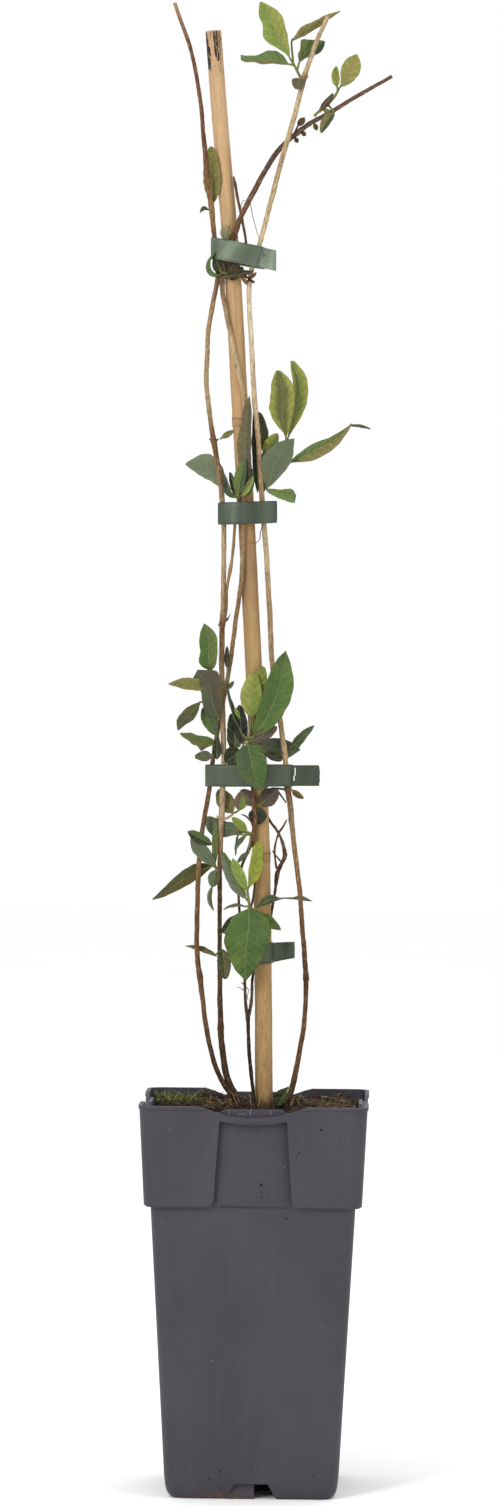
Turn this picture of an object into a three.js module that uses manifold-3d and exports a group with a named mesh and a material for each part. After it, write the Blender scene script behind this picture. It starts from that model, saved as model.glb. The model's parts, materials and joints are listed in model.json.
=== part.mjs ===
// A young honeysuckle vine in a square two-litre nursery pot, tied to a bamboo cane with four plastic bands.
// Millimetres, +Z up. The origin is the middle of the pot's underside, on the ground. The front faces -Y.
import * as THREE from "three";
import { mergeVertices } from "three/addons/utils/BufferGeometryUtils.js";
import Module from "manifold-3d";

const wasm = await Module();
wasm.setup();

// ---- Driving dimensions ----

const CLEARANCE = 0.35; // between pieces that touch
const RIM_HEIGHT = 207;
const RIM_HALF = 60; // half the pot's outside width at the rim
const POT_WALL = 1.8;
const CORNER_RADIUS = 7.5;
const CORNER_STEPS = 4;

// The pot's body from the ground up: [height, half width]. Its foot is rounded.
const BODY_PROFILE = [
  [0, 41.6],
  [1, 43.1],
  [3, 44.3],
  [6, 45.1],
  [12, 45.8],
  [33, 47],
  [154, 53.6],
];
const PANEL_TOP = [205.4, 56.5]; // the recessed panels carry the body's slope up to here

// The collar round the upper quarter, of which the four corners stay proud of the panels.
const COLLAR_FOOT = 153.8;
const COLLAR_FOOT_HALF = 57;
const BEAD_HEIGHT = 2;
const BEAD_PROUD = 0.4;

// One side's recessed panel and the lip above it, as half widths and heights.
const PANEL = { topHalf: 17.4, footHalf: 20.3, flareHalf: 25.5, flareRise: 5.4 };
const LIP = { underSide: 199.5, underMiddle: 197.4, topSide: 203.4, topMiddle: 201.3 };
const DIP_HALF = 29; // where the rim starts to dip towards the lip
const PANEL_CREST_HALF = 14.5;
const PANEL_CREST_FOOT_HALF = 17.8;

// The pot's underside.
const RECESS_HALF = 38;
const RECESS_TOP = 8.5;
const FLOOR_TOP = 11;
const NOTCH = { footHalf: 12.8, topHalf: 8.8, height: 8.3 };
const FOOT_BAR = { from: -14, to: 1.6, outer: 42.6, inner: 37.5 };
const CENTRE_PAD_RADIUS = 13;
const DRAIN_RADIUS = 4;
const DRAIN_OFFSET = 24;
const DRAIN_DEPTH = 8; // of the cut, through the floor

const SOIL_LEVEL = 201;
const LEAN = 0.45; // degrees, of the cane and all that is tied to it, to the left
const SOIL_CELLS = 8;
const CLOD_COUNT = 46;
const CLOD_FIELD = 112; // side of the square they lie in
const CLOD_SPREAD = [4, 10];
const CLOD_RISE = [1, 2.6];
const SOIL_DIP = 0.6; // between clods, below the level
const SOIL_MOST_RISE = 3.8;
const ROOT_DEPTH = 182; // how far down the stems' feet reach
const CANE_FOOT = 89;
const CANE_SIDES = 12;

const BLADE_THICKNESS = 0.7;
const BASE_SHARPNESS = 0.8; // 0.5 ends a blade in an oval, 1 in a point
const TIP_SHARPNESS = 0.5;
const STALK_RADIUS = 0.55;
const STALK_IN_BLADE = 1.2;
const STALK_SECTION_ANGLE = 1.2; // radians from the middle of a stalk's section to its side
const SHARPEST_TURN = 1.3; // radians that a leaf's skin follows between stalk and blade
const ROW_LENGTH = 8; // along a blade, between two rows of its mesh
const BROAD_BLADE = 8.4; // from this width on, a blade has four strips across and not two
const BAND_THICKNESS = 0.8;
const BAND_HEIGHT = 11.6;
const CIRCLE_SIDES = 12; // of the rounds that a band goes over

// ---- Routes of the cane and the woody stems: [x, y, z, radius], from the foot up ----

const CANE_ROUTE = [
  [4.2, 0, CANE_FOOT, 4.8],
  [4.2, 0, 202, 4.75],
  [4, 0, 259, 4.6],
  [3.2, 0, 322.5, 4.6],
  [1.6, 0, 378, 4.55],
  [-1.6, 0, 444.5, 4.45],
  [-5.4, 0, 521.5, 4.4],
  [-8.6, 0, 577, 4.4],
  [-12.7, 0, 650, 4.3],
  [-18.6, 0, 720, 4.25],
  [-22.5, 0, 771.5, 4.2],
];
const CANE_RINGS = [566, 336]; // heights of the bamboo's nodes
const CANE_RING_PROUD = 0.35;
const CANE_RING_REACH = 2; // above and below the ring's middle

// The outer left stem: out to the left, behind its neighbour, across the cane and off to the upper right.
const OUTER_STEM = [
  [-8.9, -3, ROOT_DEPTH, 1.7], [-10, -3, 202, 1.8], [-14.2, -3.5, 210.5, 1.5], [-18.2, -4, 216.5, 1.35],
  [-22.6, -5, 228, 1.3], [-26.3, -6, 245.5, 1.3], [-28.1, -6, 260.5, 1.3], [-29.5, -6.5, 271.5, 1.5],
  [-31.1, -6.5, 286.5, 1.3], [-30.7, -6.5, 312.5, 1.3], [-30, -6, 332, 1.3], [-28.5, -5, 347.5, 1.25],
  [-26.4, -3.5, 360, 1.25], [-24.3, -2, 372.5, 1.25], [-22.8, -1, 386, 1.2], [-20.7, 1, 399.5, 1.2],
  [-18.1, 2.5, 413.5, 1.2], [-15.4, 2.5, 427.5, 1.2], [-13, 1, 442, 1.2], [-10.6, -1.5, 460.5, 1.2],
  [-8.9, -4, 471, 1.2], [-7.5, -5.5, 481.5, 1.2], [-7, -6.3, 492, 1.2], [-6.5, -6.2, 508, 1.1],
  [-5.9, -6, 545, 1.1], [-5.7, -6, 574, 1.1], [-7.8, -6.2, 586, 1.15], [-9.9, -6.3, 595, 1.2],
  [-12, -6.2, 605.5, 1.2], [-14.7, -5.5, 618, 1.2], [-16.8, -4, 629.5, 1.3], [-17.9, -3.5, 638.5, 1.3],
  [-16.8, -5, 648, 1.3], [-14.1, -6.3, 656, 1.3], [-10.9, -6.6, 663.5, 1.35], [-7.8, -6.5, 673, 1.4],
  [-5.1, -6, 678.5, 1.4], [0.7, -5, 689.5, 1.4], [7, -3.5, 701, 1.4], [13.3, -2, 710, 1.35],
  [21.2, -1.5, 717, 1.3], [29.2, -1.5, 723, 1.25], [39.8, -2, 728.5, 1.2], [50.4, -3, 735, 1.1],
  [72, -4.5, 747, 0.95],
];

// The inner left stem, which ends in the upright shoot at the upper left.
const INNER_STEM = [
  [-9, -2, ROOT_DEPTH, 1.8], [-9, -2, 203, 2], [-12.7, -1.5, 211.5, 1.9], [-16, -1, 220.5, 1.7],
  [-18.3, -0.5, 238, 1.65], [-19, 0, 259, 1.4], [-19.2, 0, 285.5, 1.2], [-19.1, -1.5, 312, 1.2],
  [-19, -3, 331.5, 1.3], [-18.2, -3, 355, 1.5], [-17.5, -3, 370.5, 1.45], [-16.9, -3, 386, 1.4],
  [-17.4, -2.5, 407.5, 1.45], [-18, -2, 439, 1.4], [-17.7, -2, 458, 1.5], [-17.2, -2, 471, 1.35],
  [-16.9, -2.5, 492, 1.3], [-16.9, -3, 510.5, 1.3], [-17.9, -3.5, 525.5, 1.35], [-19.5, -3.5, 539.5, 1.35],
  [-22.2, -3, 554.5, 1.5], [-23.2, -2.5, 561, 1.3], [-25.4, -1.5, 577, 1.3], [-26.2, -1, 587.5, 1.3],
  [-25.7, -1, 601, 1.25], [-25.1, -1, 614, 1.25], [-23.3, -1, 624.5, 1.25], [-21.2, -1, 635, 1.25],
  [-20.1, -1, 643, 1.25], [-20.6, -1.5, 652, 1.25], [-21.9, -2.5, 663, 1.2], [-22.4, -3, 668, 1.35],
  [-23.2, -4.5, 677.5, 1.5], [-24.7, -6, 687.5, 1.6], [-25.8, -6.5, 698.5, 1.6], [-27.3, -6.5, 714, 1.2],
  [-28.9, -6.5, 732.5, 1.1], [-31, -7, 746, 1.05], [-34.2, -7.5, 761.5, 1], [-39.5, -8, 776.5, 1],
  [-42.6, -8.5, 785.5, 0.95],
];

// Side twigs and buds of the two left stems.
const LEFT_TWIGS = [
  [[-17.4, -2.2, 459.5, 1], [-15.8, -2.5, 464.5, 0.8], [-15.3, -3, 476, 0.8], [-13.4, -3.5, 487, 1],
    [-12.6, -4, 492, 0.8], [-11.8, -4.2, 500, 0.8], [-11, -4.6, 510.5, 0.8], [-9.7, -5, 521.5, 0.8]],
  [[-4.7, -4.5, 656, 0.7], [-5.7, -5, 664, 0.7], [-7.5, -5.8, 673.5, 0.8], [-9.4, -4.8, 682.5, 0.8],
    [-10.8, -4, 690, 0.8], [-11.6, -3.6, 694.5, 0.7]],
  [[-18, -3, 354.5, 0.8], [-15.2, -4, 355.5, 0.7], [-12.8, -5, 357, 0.6], [-11.6, -5.5, 358, 0.6]],
  [[-18.6, -3, 355, 0.9], [-21, -3, 356.5, 0.6]],
  [[-18, -2, 458, 0.9], [-20, -2.2, 457.5, 0.5]],
  [[-17.4, -2, 459, 0.9], [-14.4, -1.5, 461, 0.5]],
  [[-22.4, -3, 554.8, 0.9], [-24.6, -3.2, 556, 0.5]],
  [[-22, -3, 554.8, 0.9], [-19.6, -3.2, 556, 0.5]],
  [[22, -1.5, 717.5, 0.7], [24.2, -1.7, 724, 1.1], [24.6, -1.8, 725.6, 0.3]],
  [[24.5, -1.6, 719.5, 0.7], [25.4, -2.2, 717, 0.9], [26, -2.4, 715.6, 0.3]],
  [[20.5, -1.5, 716.5, 0.8], [20.6, -1.8, 713.4, 0.4]],
  [[30.5, -1.5, 723.5, 0.7], [32, -2.4, 719.6, 0.8], [32.6, -2.6, 718, 0.3]],
];

// The middle stem, close to the cane, then its branches.
const MIDDLE_STEM = [
  [-0.9, -6.5, ROOT_DEPTH, 1], [-0.9, -6.5, 205, 1.05], [-1.7, -6.3, 214.5, 1], [-3, -6, 227, 1.05],
  [-3.8, -6, 238, 0.95], [-4.1, -6, 249, 1.1], [-5.1, -6.5, 256, 0.8], [-5.5, -6.5, 264.5, 0.8],
  [-6.2, -6.5, 283, 0.75], [-7.8, -6.5, 299, 0.75], [-8.9, -6.5, 312.5, 0.75], [-8.7, -6.5, 320, 0.75],
  [-7.5, -6.5, 329.5, 0.75], [-5.1, -6.8, 335.5, 0.8], [-2.5, -7.2, 341.5, 1.1], [-0.7, -7.5, 349, 1.3],
  [-0.3, -8, 357.5, 0.9], [-1.1, -8, 365, 0.85], [-1.7, -7.6, 371.5, 0.85], [-2.5, -7, 378.5, 0.85],
  [-3, -7, 386.5, 0.85], [-4.1, -7, 395.5, 1],
];
const MIDDLE_TWIGS = [
  [[-4.1, -6, 249, 1], [-2.8, -5.8, 254.5, 0.9], [-2.1, -5, 260.5, 0.8], [-1.9, -2.8, 265.5, 0.8],
    [-1.8, 0, 270.5, 0.8], [-0.6, 3, 277.5, 0.75], [1.5, 5.8, 286, 0.75], [4.6, 6.3, 294.5, 0.75],
    [7.3, 5.4, 301, 0.75], [9.5, 3.5, 312.5, 0.75], [10.5, 2.7, 320, 0.9], [11.6, 2.5, 326.5, 1.3],
    [13.2, 2.5, 330.5, 1.1], [15.3, 2.5, 335, 1.15], [14.8, 2.5, 340, 0.9], [13.2, 2.5, 344.5, 0.8],
    [10.5, 3, 349.5, 0.75], [7.9, 4.5, 353, 0.7], [5.7, 6, 357, 0.7], [3, 7, 363, 0.6]],
  [[10.8, 2.5, 328.5, 0.6], [10, 2.5, 335.5, 0.55], [10.2, 2.5, 341, 0.55], [11.9, 2.5, 347, 0.6],
    [14.3, 2, 350.5, 0.5], [16.4, 1.2, 354.5, 0.45]],
  [[13.7, 2.4, 331.6, 0.5], [10.5, 1.6, 335.5, 0.45], [8.7, 1, 338, 0.4]],
  [[15, 2.5, 335.5, 0.9], [16.8, 2.5, 336, 0.4]],
  [[-1.4, -7.4, 343, 0.8], [-0.5, -7.2, 336, 0.6], [-0.4, -7.2, 327, 0.55], [-0.6, -7.2, 319, 0.55],
    [-1.3, -7.3, 313.5, 0.55], [-2.2, -7.5, 308.5, 0.6]],
  [[-0.8, -7.5, 350.5, 0.7], [-2.2, -7.4, 353.5, 0.5], [-5, -7.2, 356.5, 0.45], [-7.6, -6.8, 357.5, 0.4]],
  [[-0.6, -8, 362, 0.7], [0.4, -8.2, 362.6, 0.4]],
  [[-5.5, -6.5, 267, 0.6], [-7.6, -6.8, 268.6, 0.35]],
];

// The right stem, which runs beside the cane to the top tie and leans out to the upper right.
const RIGHT_STEM = [
  [17.3, -3, ROOT_DEPTH, 1.6], [17.5, -3, 204, 1.75], [18.9, -3, 211.5, 1.65], [20.4, -2.5, 216.5, 1.5],
  [23, -2, 230.5, 1.35], [25.6, -2, 245.5, 1.3], [26.5, -2, 260, 1.2], [26.7, -2, 270, 1.45],
  [25.6, -2.5, 286, 1.25], [24.4, -2.5, 301, 1.25], [23.4, -2.5, 316.5, 1.3], [21.5, -2, 331.5, 1.3],
  [19.6, -1.8, 347.5, 1.4], [18.3, -2, 362.5, 1.5], [17, -2.2, 370.5, 1.7], [16, -3, 384.5, 1.4],
  [14.4, -3.2, 397, 1.4], [13, -2.5, 406.5, 1.4], [10.6, -1.5, 423.5, 1.4], [8.5, -1.2, 439, 1.4],
  [7.5, -1.5, 463, 1.4], [6.7, -2, 476, 1.4], [5.4, -3.5, 500, 1.4], [4.3, -4.5, 510.5, 1.4],
  [3.3, -5.5, 525.5, 1.4], [2.5, -6.8, 539.5, 1.4], [1.5, -7.6, 555.5, 1.35], [0.2, -7.6, 568.5, 1.35],
  [-0.9, -7, 582, 1.35], [-2.3, -4.5, 608.5, 1.3], [-3.6, -2.5, 630, 1.3], [-3.1, -2, 641.5, 1.3],
  [-0.5, -3, 652, 1.3], [2.7, -4, 660.5, 1.3], [5.4, -5, 671, 1.3], [9.1, -6, 685, 1.35],
  [13.9, -6.5, 703.5, 1.35], [18.7, -6.5, 719.5, 1.35], [22.9, -6.5, 735, 1.35], [25.5, -6.5, 746.5, 1.6],
  [28.7, -6.5, 753, 1.3], [33.5, -6.5, 766.5, 1.2], [38.5, -6.5, 778.5, 1.1],
];
const RIGHT_TWIGS = [
  [[16.4, -2.4, 370.5, 0.6], [13, -2.4, 371, 0.5], [10.8, -2.4, 371.5, 0.5]],
  [[11, -2.4, 371.4, 0.5], [13, -2.4, 368, 0.5], [16.2, -2, 363.5, 0.5]],
  [[25.6, -6.5, 746.5, 0.9], [28, -6.8, 746.8, 0.4]],
];

// ---- Leaves: [stalk foot], [blade base], [blade tip], width, roll ----
// Roll 0 turns the upper face to the front, 180 the underside, 90 the edge. The shoots are routes.

const leaf = (stalk, base, tip, width, roll, form = {}) => ({ stalk, base, tip, width, roll, ...form });

const SPRAYS = {
  top_leaves: {
    colour: "#6f9436",
    shoots: [[[23.5, -6.8, 746.5, 0.75], [21.5, -8.2, 750.5, 0.7], [20, -9, 753.5, 0.6]]],
    leaves: [
      leaf([20, -9, 753], [18, -9.5, 756.5], [2.5, -12, 786], 15.5, -12, { fold: 30, widest: 0.58 }),
      leaf([20, -9, 752.5], [17.5, -9.5, 753], [-7.5, -14, 755], 10.5, 34, {
        fold: 20, arch: -2, twist: 24,
      }),
      leaf([20, -8.5, 753], [19, -5, 765.5], [44.5, 0, 782], 6, 38, { fold: 40, arch: 1 }),
      leaf([22, -8, 750], [23, -3.8, 754.5], [36.5, -0.6, 766], 10.5, 10, { fold: 30, arch: 1 }),
      leaf([23.3, -7.2, 747], [23.5, -10, 745.5], [21.5, -11, 739.5], 7.5, 0, { fold: 20, arch: 2 }),
    ],
  },
  side_shoot_leaves: {
    colour: "#8a9a3a",
    shoots: [
      [[30.8, -1.6, 726.5, 0.7], [33.5, -1.8, 729, 0.7], [37, -2, 731.5, 0.65], [41.5, -2.2, 736.5, 0.6],
        [43.5, -2.5, 740, 0.55]],
    ],
    leaves: [
      leaf([43.5, -2.4, 740], [44.5, -3, 741.5], [53.5, -6, 758.5], 11.5, 10, { fold: 25, arch: 2 }),
      leaf([43.5, -2.4, 740], [43, -3, 741.5], [42.5, -4, 752.5], 5, -20, { fold: 40, arch: 1 }),
      leaf([34, -2, 728.5], [34, -3, 730], [41, -6, 738], 4, 20, { fold: 40, arch: 1.5 }),
      leaf([35, -2.4, 729.5], [35.5, -3, 729.5], [39.5, -4.5, 728.5], 2.5, 0, { fold: 20 }),
      leaf([38, -2.6, 732.5], [41.5, -4.6, 728], [34.5, -6, 717], 6, 20, { fold: 40, arch: 2 }),
    ],
  },
  shoot_leaf: {
    colour: "#5f7a3c",
    leaves: [
      leaf([-22.5, -2.3, 678], [-22.5, -2.6, 680.5], [-23.5, -4.2, 710.5], 10, -6, { fold: 35 }),
      leaf([-22.5, -2.3, 678.5], [-24.5, -2.2, 677], [-29.5, -3, 675.5], 3, 30, { fold: 30, bend: 1.5 }),
    ],
  },
  tucked_leaves: {
    colour: "#7c8470",
    leaves: [
      leaf([-15.9, -5.2, 658.5], [-15.9, -5.2, 659], [-17.3, -5.9, 668], 4, -10, {
        fold: 30, widest: 0.6,
      }),
      leaf([-15.5, -5.6, 658.5], [-15.5, -5.8, 659.5], [-14, -7, 668.5], 3.5, 20, {
        fold: 40, widest: 0.6,
      }),
    ],
  },
  curled_leaf: {
    colour: "#5c9a3e",
    leaves: [
      leaf([-21.6, -4.8, 642], [-21.6, -4.8, 642.2], [-23.4, -4.6, 650], 7, -25, { fold: 20, bend: -3 }),
    ],
  },
  dry_leaves: {
    colour: "#4a3626",
    leaves: [
      leaf([-15.6, -6, 642], [-16.6, -6, 641.5], [-1.1, -5.6, 644], 5, 10, { fold: 40, arch: 1.5 }),
      leaf([-15.1, -6, 642], [-14.1, -6, 642], [-20.6, -5.8, 639.5], 3.5, 20, { fold: 50 }),
      leaf([-8.6, -6.4, 642], [-7.6, -6.4, 642], [-4.1, -7, 637], 2.5, 0, { fold: 50 }),
    ],
  },
  upper_right_leaves: {
    colour: "#5d7f3a",
    shoots: [
      [[5.5, -5.2, 529.5, 0.8], [8, -4.5, 535.5, 0.75], [11.5, -3.8, 544, 0.7], [16, -3.5, 555, 0.6]],
      [[5.6, -4.6, 531, 0.5], [5.4, -2.6, 538, 0.5], [4.6, -1.2, 544.5, 0.5]],
    ],
    leaves: [
      leaf([16, -3.5, 554], [16, -3.8, 556.5], [12, -6.5, 592], 15.5, -5, { fold: 35, arch: 2 }),
      leaf([16, -3.3, 554], [17, -2.6, 556.5], [18.5, 0.5, 597.5], 11, 18, {
        fold: 30, arch: 2, bend: 3.5,
      }),
      leaf([6.5, -5.4, 531.5], [6, -6.4, 530], [20.5, -9.4, 556], 16.5, 178, { fold: 12, arch: -3.6 }),
      leaf([11.7, -3.9, 544], [18, -4.5, 543.5], [51, -6, 564], 8.5, 12, {
        fold: 50, arch: 3, pointed: true,
      }),
      leaf([50, -6, 563.5], [49.5, -6, 563], [61, -7, 561], 2.5, 40, { fold: 60, bend: -1 }),
      leaf([6, -5.6, 529.5], [5.5, -7, 529], [21.5, -8, 526], 9.5, 15, {
        fold: 35, widest: 0.6, blunt: 0.5,
      }),
      leaf([4.5, -1.2, 544], [4, -0.8, 549.5], [1.5, 0.6, 570.5], 7, 20, { fold: 30, arch: 1 }),
      leaf([4.5, -1.2, 544], [5, -1.5, 546.5], [11.5, -2.5, 559], 8, -10, { fold: 40, arch: 1 }),
      leaf([5.7, -5.3, 530.5], [5.9, -6, 531], [6.8, -6.8, 539], 3, 0, { fold: 40 }),
    ],
  },
  upper_left_leaves: {
    colour: "#66734a",
    shoots: [[[-9.5, -5.2, 523.5, 0.8], [-8.5, -7.2, 527, 0.8]]],
    leaves: [
      leaf([-8.4, -7.3, 526.8], [-6, -9, 527.5], [-3.5, -8.4, 578.5], 9, -28, { fold: 18 }),
      leaf([-9, -6, 525.5], [-12.5, -1.4, 526.3], [-37.5, 5.5, 543], 16.5, 172, { fold: 25 }),
      leaf([-9, -7, 526], [-9, -8.6, 527], [-6, -9.5, 541], 6.5, -15, { fold: 40, arch: 1 }),
      leaf([-8.5, -7.2, 526], [-7, -9, 525.5], [-1, -10.5, 536], 4, 10, { fold: 40 }),
      leaf([-9.5, -5.8, 525.5], [-11, -5.2, 525], [-17, -5.8, 529], 3, 0, { fold: 30 }),
    ],
  },
  bud_leaf: {
    colour: "#6c7c3a",
    leaves: [leaf([-18.8, -3.4, 556.2], [-18, -3.6, 556.5], [-11.5, -4, 560.5], 3.5, 0, { fold: 40 })],
  },
  left_leaves: {
    colour: "#5b6e3e",
    shoots: [
      [[-19.5, -3.4, 395, 0.7], [-20.5, -5, 403, 0.75], [-21.5, -6, 415.5, 0.7], [-23, -6.3, 430.5, 0.6]],
    ],
    leaves: [
      leaf([-23, -6.3, 430], [-23.5, -6.6, 433.5], [-27, -8.5, 458.5], 10.5, -10, { fold: 30, arch: 2 }),
      leaf([-21, -5.4, 406.5], [-18.5, -6.6, 407.5], [-30.5, -10, 434], 17, 176, { fold: 25, arch: -3 }),
      leaf([-23, -6.5, 426.5], [-26, -8.5, 425], [-46, -11, 426.5], 7.5, 20, { fold: 45, arch: 2 }),
      leaf([-22, -6.4, 415.5], [-29, -8.4, 417], [-41, -11, 402], 8, 20, { fold: 35, arch: 2 }),
      leaf([-22, -5.6, 413], [-28, -5.4, 414], [-21, -6.6, 399.5], 6, 0, { fold: 30 }),
      leaf([-19.5, -4.6, 396], [-22, -5.5, 394.5], [-40, -9, 400.5], 8, 140, { fold: 40, arch: -3.5 }),
      leaf([-19.5, -4.4, 395], [-23, -5, 388.5], [-32, -7, 388], 6, 10, { fold: 30, blunt: 0.4 }),
      leaf([-19.5, -4.2, 395], [-20.5, -4.6, 386.5], [-20.5, -5.6, 398], 3.5, 0, { fold: 40 }),
    ],
  },
  centre_leaves: {
    colour: "#3f6b2f",
    shoots: [[[-4, -7.2, 396.8, 0.9], [-4, -8.6, 398.5, 0.9]]],
    leaves: [
      leaf([-3.5, -9, 398], [-1.5, -9.8, 398.5], [16, -9.5, 444], 19, 2, {
        fold: 22, arch: 1.5, bend: 3, pointed: true,
      }),
      leaf([-3.5, -8.8, 398], [-2.5, -7.8, 409], [-1, -8.4, 432.5], 12, -8, { fold: 25, arch: 1.5 }),
      leaf([-2, -7.6, 402], [0, -6.8, 417.5], [4, -7, 436], 8, 10, { fold: 25, arch: 1 }),
      leaf([-4, -9.2, 397], [-4, -11, 395], [3, -13, 370], 16.5, -6, { fold: 25, arch: 2.5 }),
      leaf([-4.5, -8.6, 397.5], [-6, -8, 399], [-15.5, -5.2, 427.5], 5.5, 70, { fold: 40, bend: -2 }),
      leaf([-15, -5.1, 426.5], [-15, -4, 434.5], [-15, -4.4, 446.5], 3.5, -30, { fold: 40 }),
      leaf([-4.5, -7.6, 397], [-6.5, -6.6, 394.5], [-8.5, -5.6, 415.5], 6, -10, { fold: 30, arch: 1 }),
      leaf([-8, -6.5, 408], [-8.5, -7, 408.5], [-11, -8, 414], 2.5, 0, { fold: 40 }),
      leaf([-3.5, -9, 397], [-2, -9, 396.5], [11.5, -8, 404], 7, 10, { fold: 40, arch: 1 }),
      leaf([-3.5, -8.6, 396.5], [2, -6.8, 393.5], [23.5, 3.4, 391.5], 9, -4, { fold: 25, arch: -1.6 }),
      leaf([17.5, 1.7, 392.1], [18.5, 1.2, 393.5], [31, -1.5, 404.5], 6, 15, { fold: 40, arch: 1.5 }),
      leaf([-0.5, -7.4, 394.5], [5, -5.8, 390.5], [14, -6, 386], 5, 0, { fold: 40 }),
      leaf([-15.2, -5.4, 423], [-14.6, -5.6, 423.8], [-11.5, -6.2, 428], 2.5, 0, { fold: 40 }),
      leaf([-8, -7, 394], [-11.5, -6.6, 390.5], [-13, -6.2, 409], 3, 30, { fold: 40, bend: 1 }),
      leaf([-5.5, -7.6, 396], [-8, -7, 391.5], [-15, -6, 385], 7, 0, { fold: 30 }),
    ],
  },
  purple_leaves: {
    colour: "#5a4a52",
    shoots: [[[1.2, -8.2, 362.6, 0.5], [1.8, -6.6, 362, 0.6]]],
    leaves: [
      leaf([1.7, -6.7, 362], [2.2, -6.6, 362.5], [12, -6.6, 371], 9.5, 170, { fold: 20 }),
      leaf([1.7, -6.7, 362], [1.2, -6, 361.2], [1, -5.7, 352], 10, 0, { fold: 12 }),
    ],
  },
  node_leaves: {
    colour: "#7a7430",
    leaves: [
      leaf([-10.5, -5.8, 358.7], [-12.5, -1.6, 358], [-20, 3.8, 370.5], 9.5, 0, { fold: 12 }),
      leaf([-10.5, -5.8, 358.7], [-9, -6, 359.5], [-6, -6, 370.5], 7.5, 180, { fold: 25, arch: -1 }),
    ],
  },
  inner_leaves: {
    colour: "#647257",
    shoots: [[[-1.5, -9.3, 348, 0.5], [-2, -9.2, 347.5, 0.6]]],
    leaves: [
      leaf([-2, -9, 347.5], [-6, -4.6, 348], [-28, 3.4, 355.5], 11, 176, { fold: 20, arch: -1 }),
      leaf([-2, -9, 347.5], [-4.5, -8.6, 348.5], [-12.5, -8.6, 356], 5, 10, { fold: 40, arch: 1 }),
      leaf([-2.5, -9, 347], [-5, -8.8, 346.5], [-11, -10, 339], 3, 20, { fold: 40, arch: 1 }),
      leaf([-3.5, -8.9, 347], [-9, -8.6, 348], [-10.5, -8, 335.5], 2.5, 50, { fold: 40 }),
      leaf([-2.5, -9.2, 346.5], [-3.5, -8.4, 337.5], [-9.5, -9, 332], 3, 20, { fold: 30, arch: 1 }),
    ],
  },
  low_left_leaves: {
    colour: "#4f6636",
    leaves: [
      leaf([-21, -3.5, 329], [-21.5, -6, 330.5], [-31, -10.4, 343.5], 10.5, 176, { fold: 8, arch: -1.5 }),
      leaf([-22.5, -5.2, 336], [-22.5, -6.2, 341.5], [-36, -8.5, 348.5], 7.5, 10, { fold: 35, arch: 1.5 }),
      leaf([-21, -3.5, 329], [-21.5, -4.6, 331], [-21.5, -6, 353.5], 3.5, 0, { fold: 30 }),
      leaf([-21, -3.5, 329], [-23, -2.8, 330], [-55, 0.5, 312], 12, 190, {
        fold: 15, arch: -1, pointed: true,
      }),
      leaf([-21, -3.5, 329], [-21, -4.6, 328], [-23, -6.5, 319], 7, 0, { fold: 30 }),
      leaf([-22, -5.9, 321], [-22.5, -6, 320], [-22, -7, 306.5], 3, 20, { fold: 40, bend: 2 }),
    ],
  },
  bottom_leaves: {
    colour: "#4f7d33",
    shoots: [
      [[-2.5, -8.6, 308.5, 0.6], [-3, -9.6, 309.5, 0.8], [-4, -10.4, 315, 0.75], [-4.5, -10.8, 319.5, 0.6]],
    ],
    leaves: [
      leaf([-4, -10.6, 318], [-3.5, -10.6, 319], [2, -10.2, 344], 8.5, 12, { fold: 25, arch: 1 }),
      leaf([-4, -10.6, 316], [-4.5, -11, 317.5], [-12, -13, 334.5], 7, 10, { fold: 40, arch: 2 }),
      leaf([-3.5, -10, 311.5], [-5, -9.8, 313], [-17.5, -5.4, 337.5], 9, -28, { fold: 35, arch: 1 }),
      leaf([-3, -9.8, 309.5], [-3.5, -12, 308], [-5, -16, 270], 23.5, 6, {
        fold: 16, arch: 3.5, widest: 0.38, pointed: true,
      }),
      leaf([-2.5, -9.2, 308.5], [0, -9.2, 305], [13.5, -9, 296.5], 7.5, -14, { fold: 30, arch: 1 }),
      leaf([-3, -9.8, 308.5], [-7, -9.6, 303.5], [-17.5, -10.5, 295], 8, 0, { fold: 20 }),
      leaf([-2.5, -9.2, 308.5], [0, -8.8, 307], [30, 5.2, 311], 7.5, 8, {
        fold: 25, bend: -4, twist: 150,
      }),
      leaf([-3, -9.8, 309], [-5.5, -9.6, 309], [-17, -8, 307], 3, 55, { fold: 30, bend: 1.2 }),
    ],
  },
  low_pair: {
    colour: "#5d5a48",
    leaves: [
      leaf([-19, -1.9, 285], [-17.5, -3.2, 286], [-16, -4.2, 270], 7.5, -5, { fold: 25, arch: 1 }),
      leaf([-19, -1.9, 285], [-20.5, -2.4, 282], [-37.5, -1.6, 287.5], 4, 40, {
        fold: 40, arch: 1.5, pointed: true,
      }),
    ],
  },
};
const WITHERED_LEAF = leaf([17.6, -3, 370.5], [19.2, -3.6, 370.3], [25.5, -5, 366], 4, 20, { fold: 50 });

// ---- The plastic ties: middle height, fall to the right, and the free end's run [x, y] ----

const TIES = {
  tie_top: { level: 654, fall: 0.2, height: 11.5, tail: [[4, -3.8], [8.5, -3.4], [12, -2.6]] },
  tie_upper: { level: 517, fall: -0.03, height: BAND_HEIGHT, tail: [[5, -4.6], [8.5, -4], [11.6, -3.4]] },
  tie_lower: { level: 378, fall: 0, height: BAND_HEIGHT, tail: [[17.2, -3], [25, -3.6], [33.6, -2.6]] },
  tie_bottom: { level: 284, fall: 0, height: 11, tail: [[8.8, 0.4], [14, 0.8], [20.6, -1]] },
};

// ---- Solids from meshes ----

const solid = (geometry) => {
  const bare = geometry.clone();
  bare.deleteAttribute("normal");
  bare.deleteAttribute("uv");
  const merged = mergeVertices(bare, 1e-4);
  return new wasm.Manifold(
    new wasm.Mesh({
      numProp: 3,
      vertProperties: new Float32Array(merged.attributes.position.array),
      triVerts: new Uint32Array(merged.index.array),
    }),
  );
};

const joined = (solids) => solids.reduce((whole, next) => whole.add(next));

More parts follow.
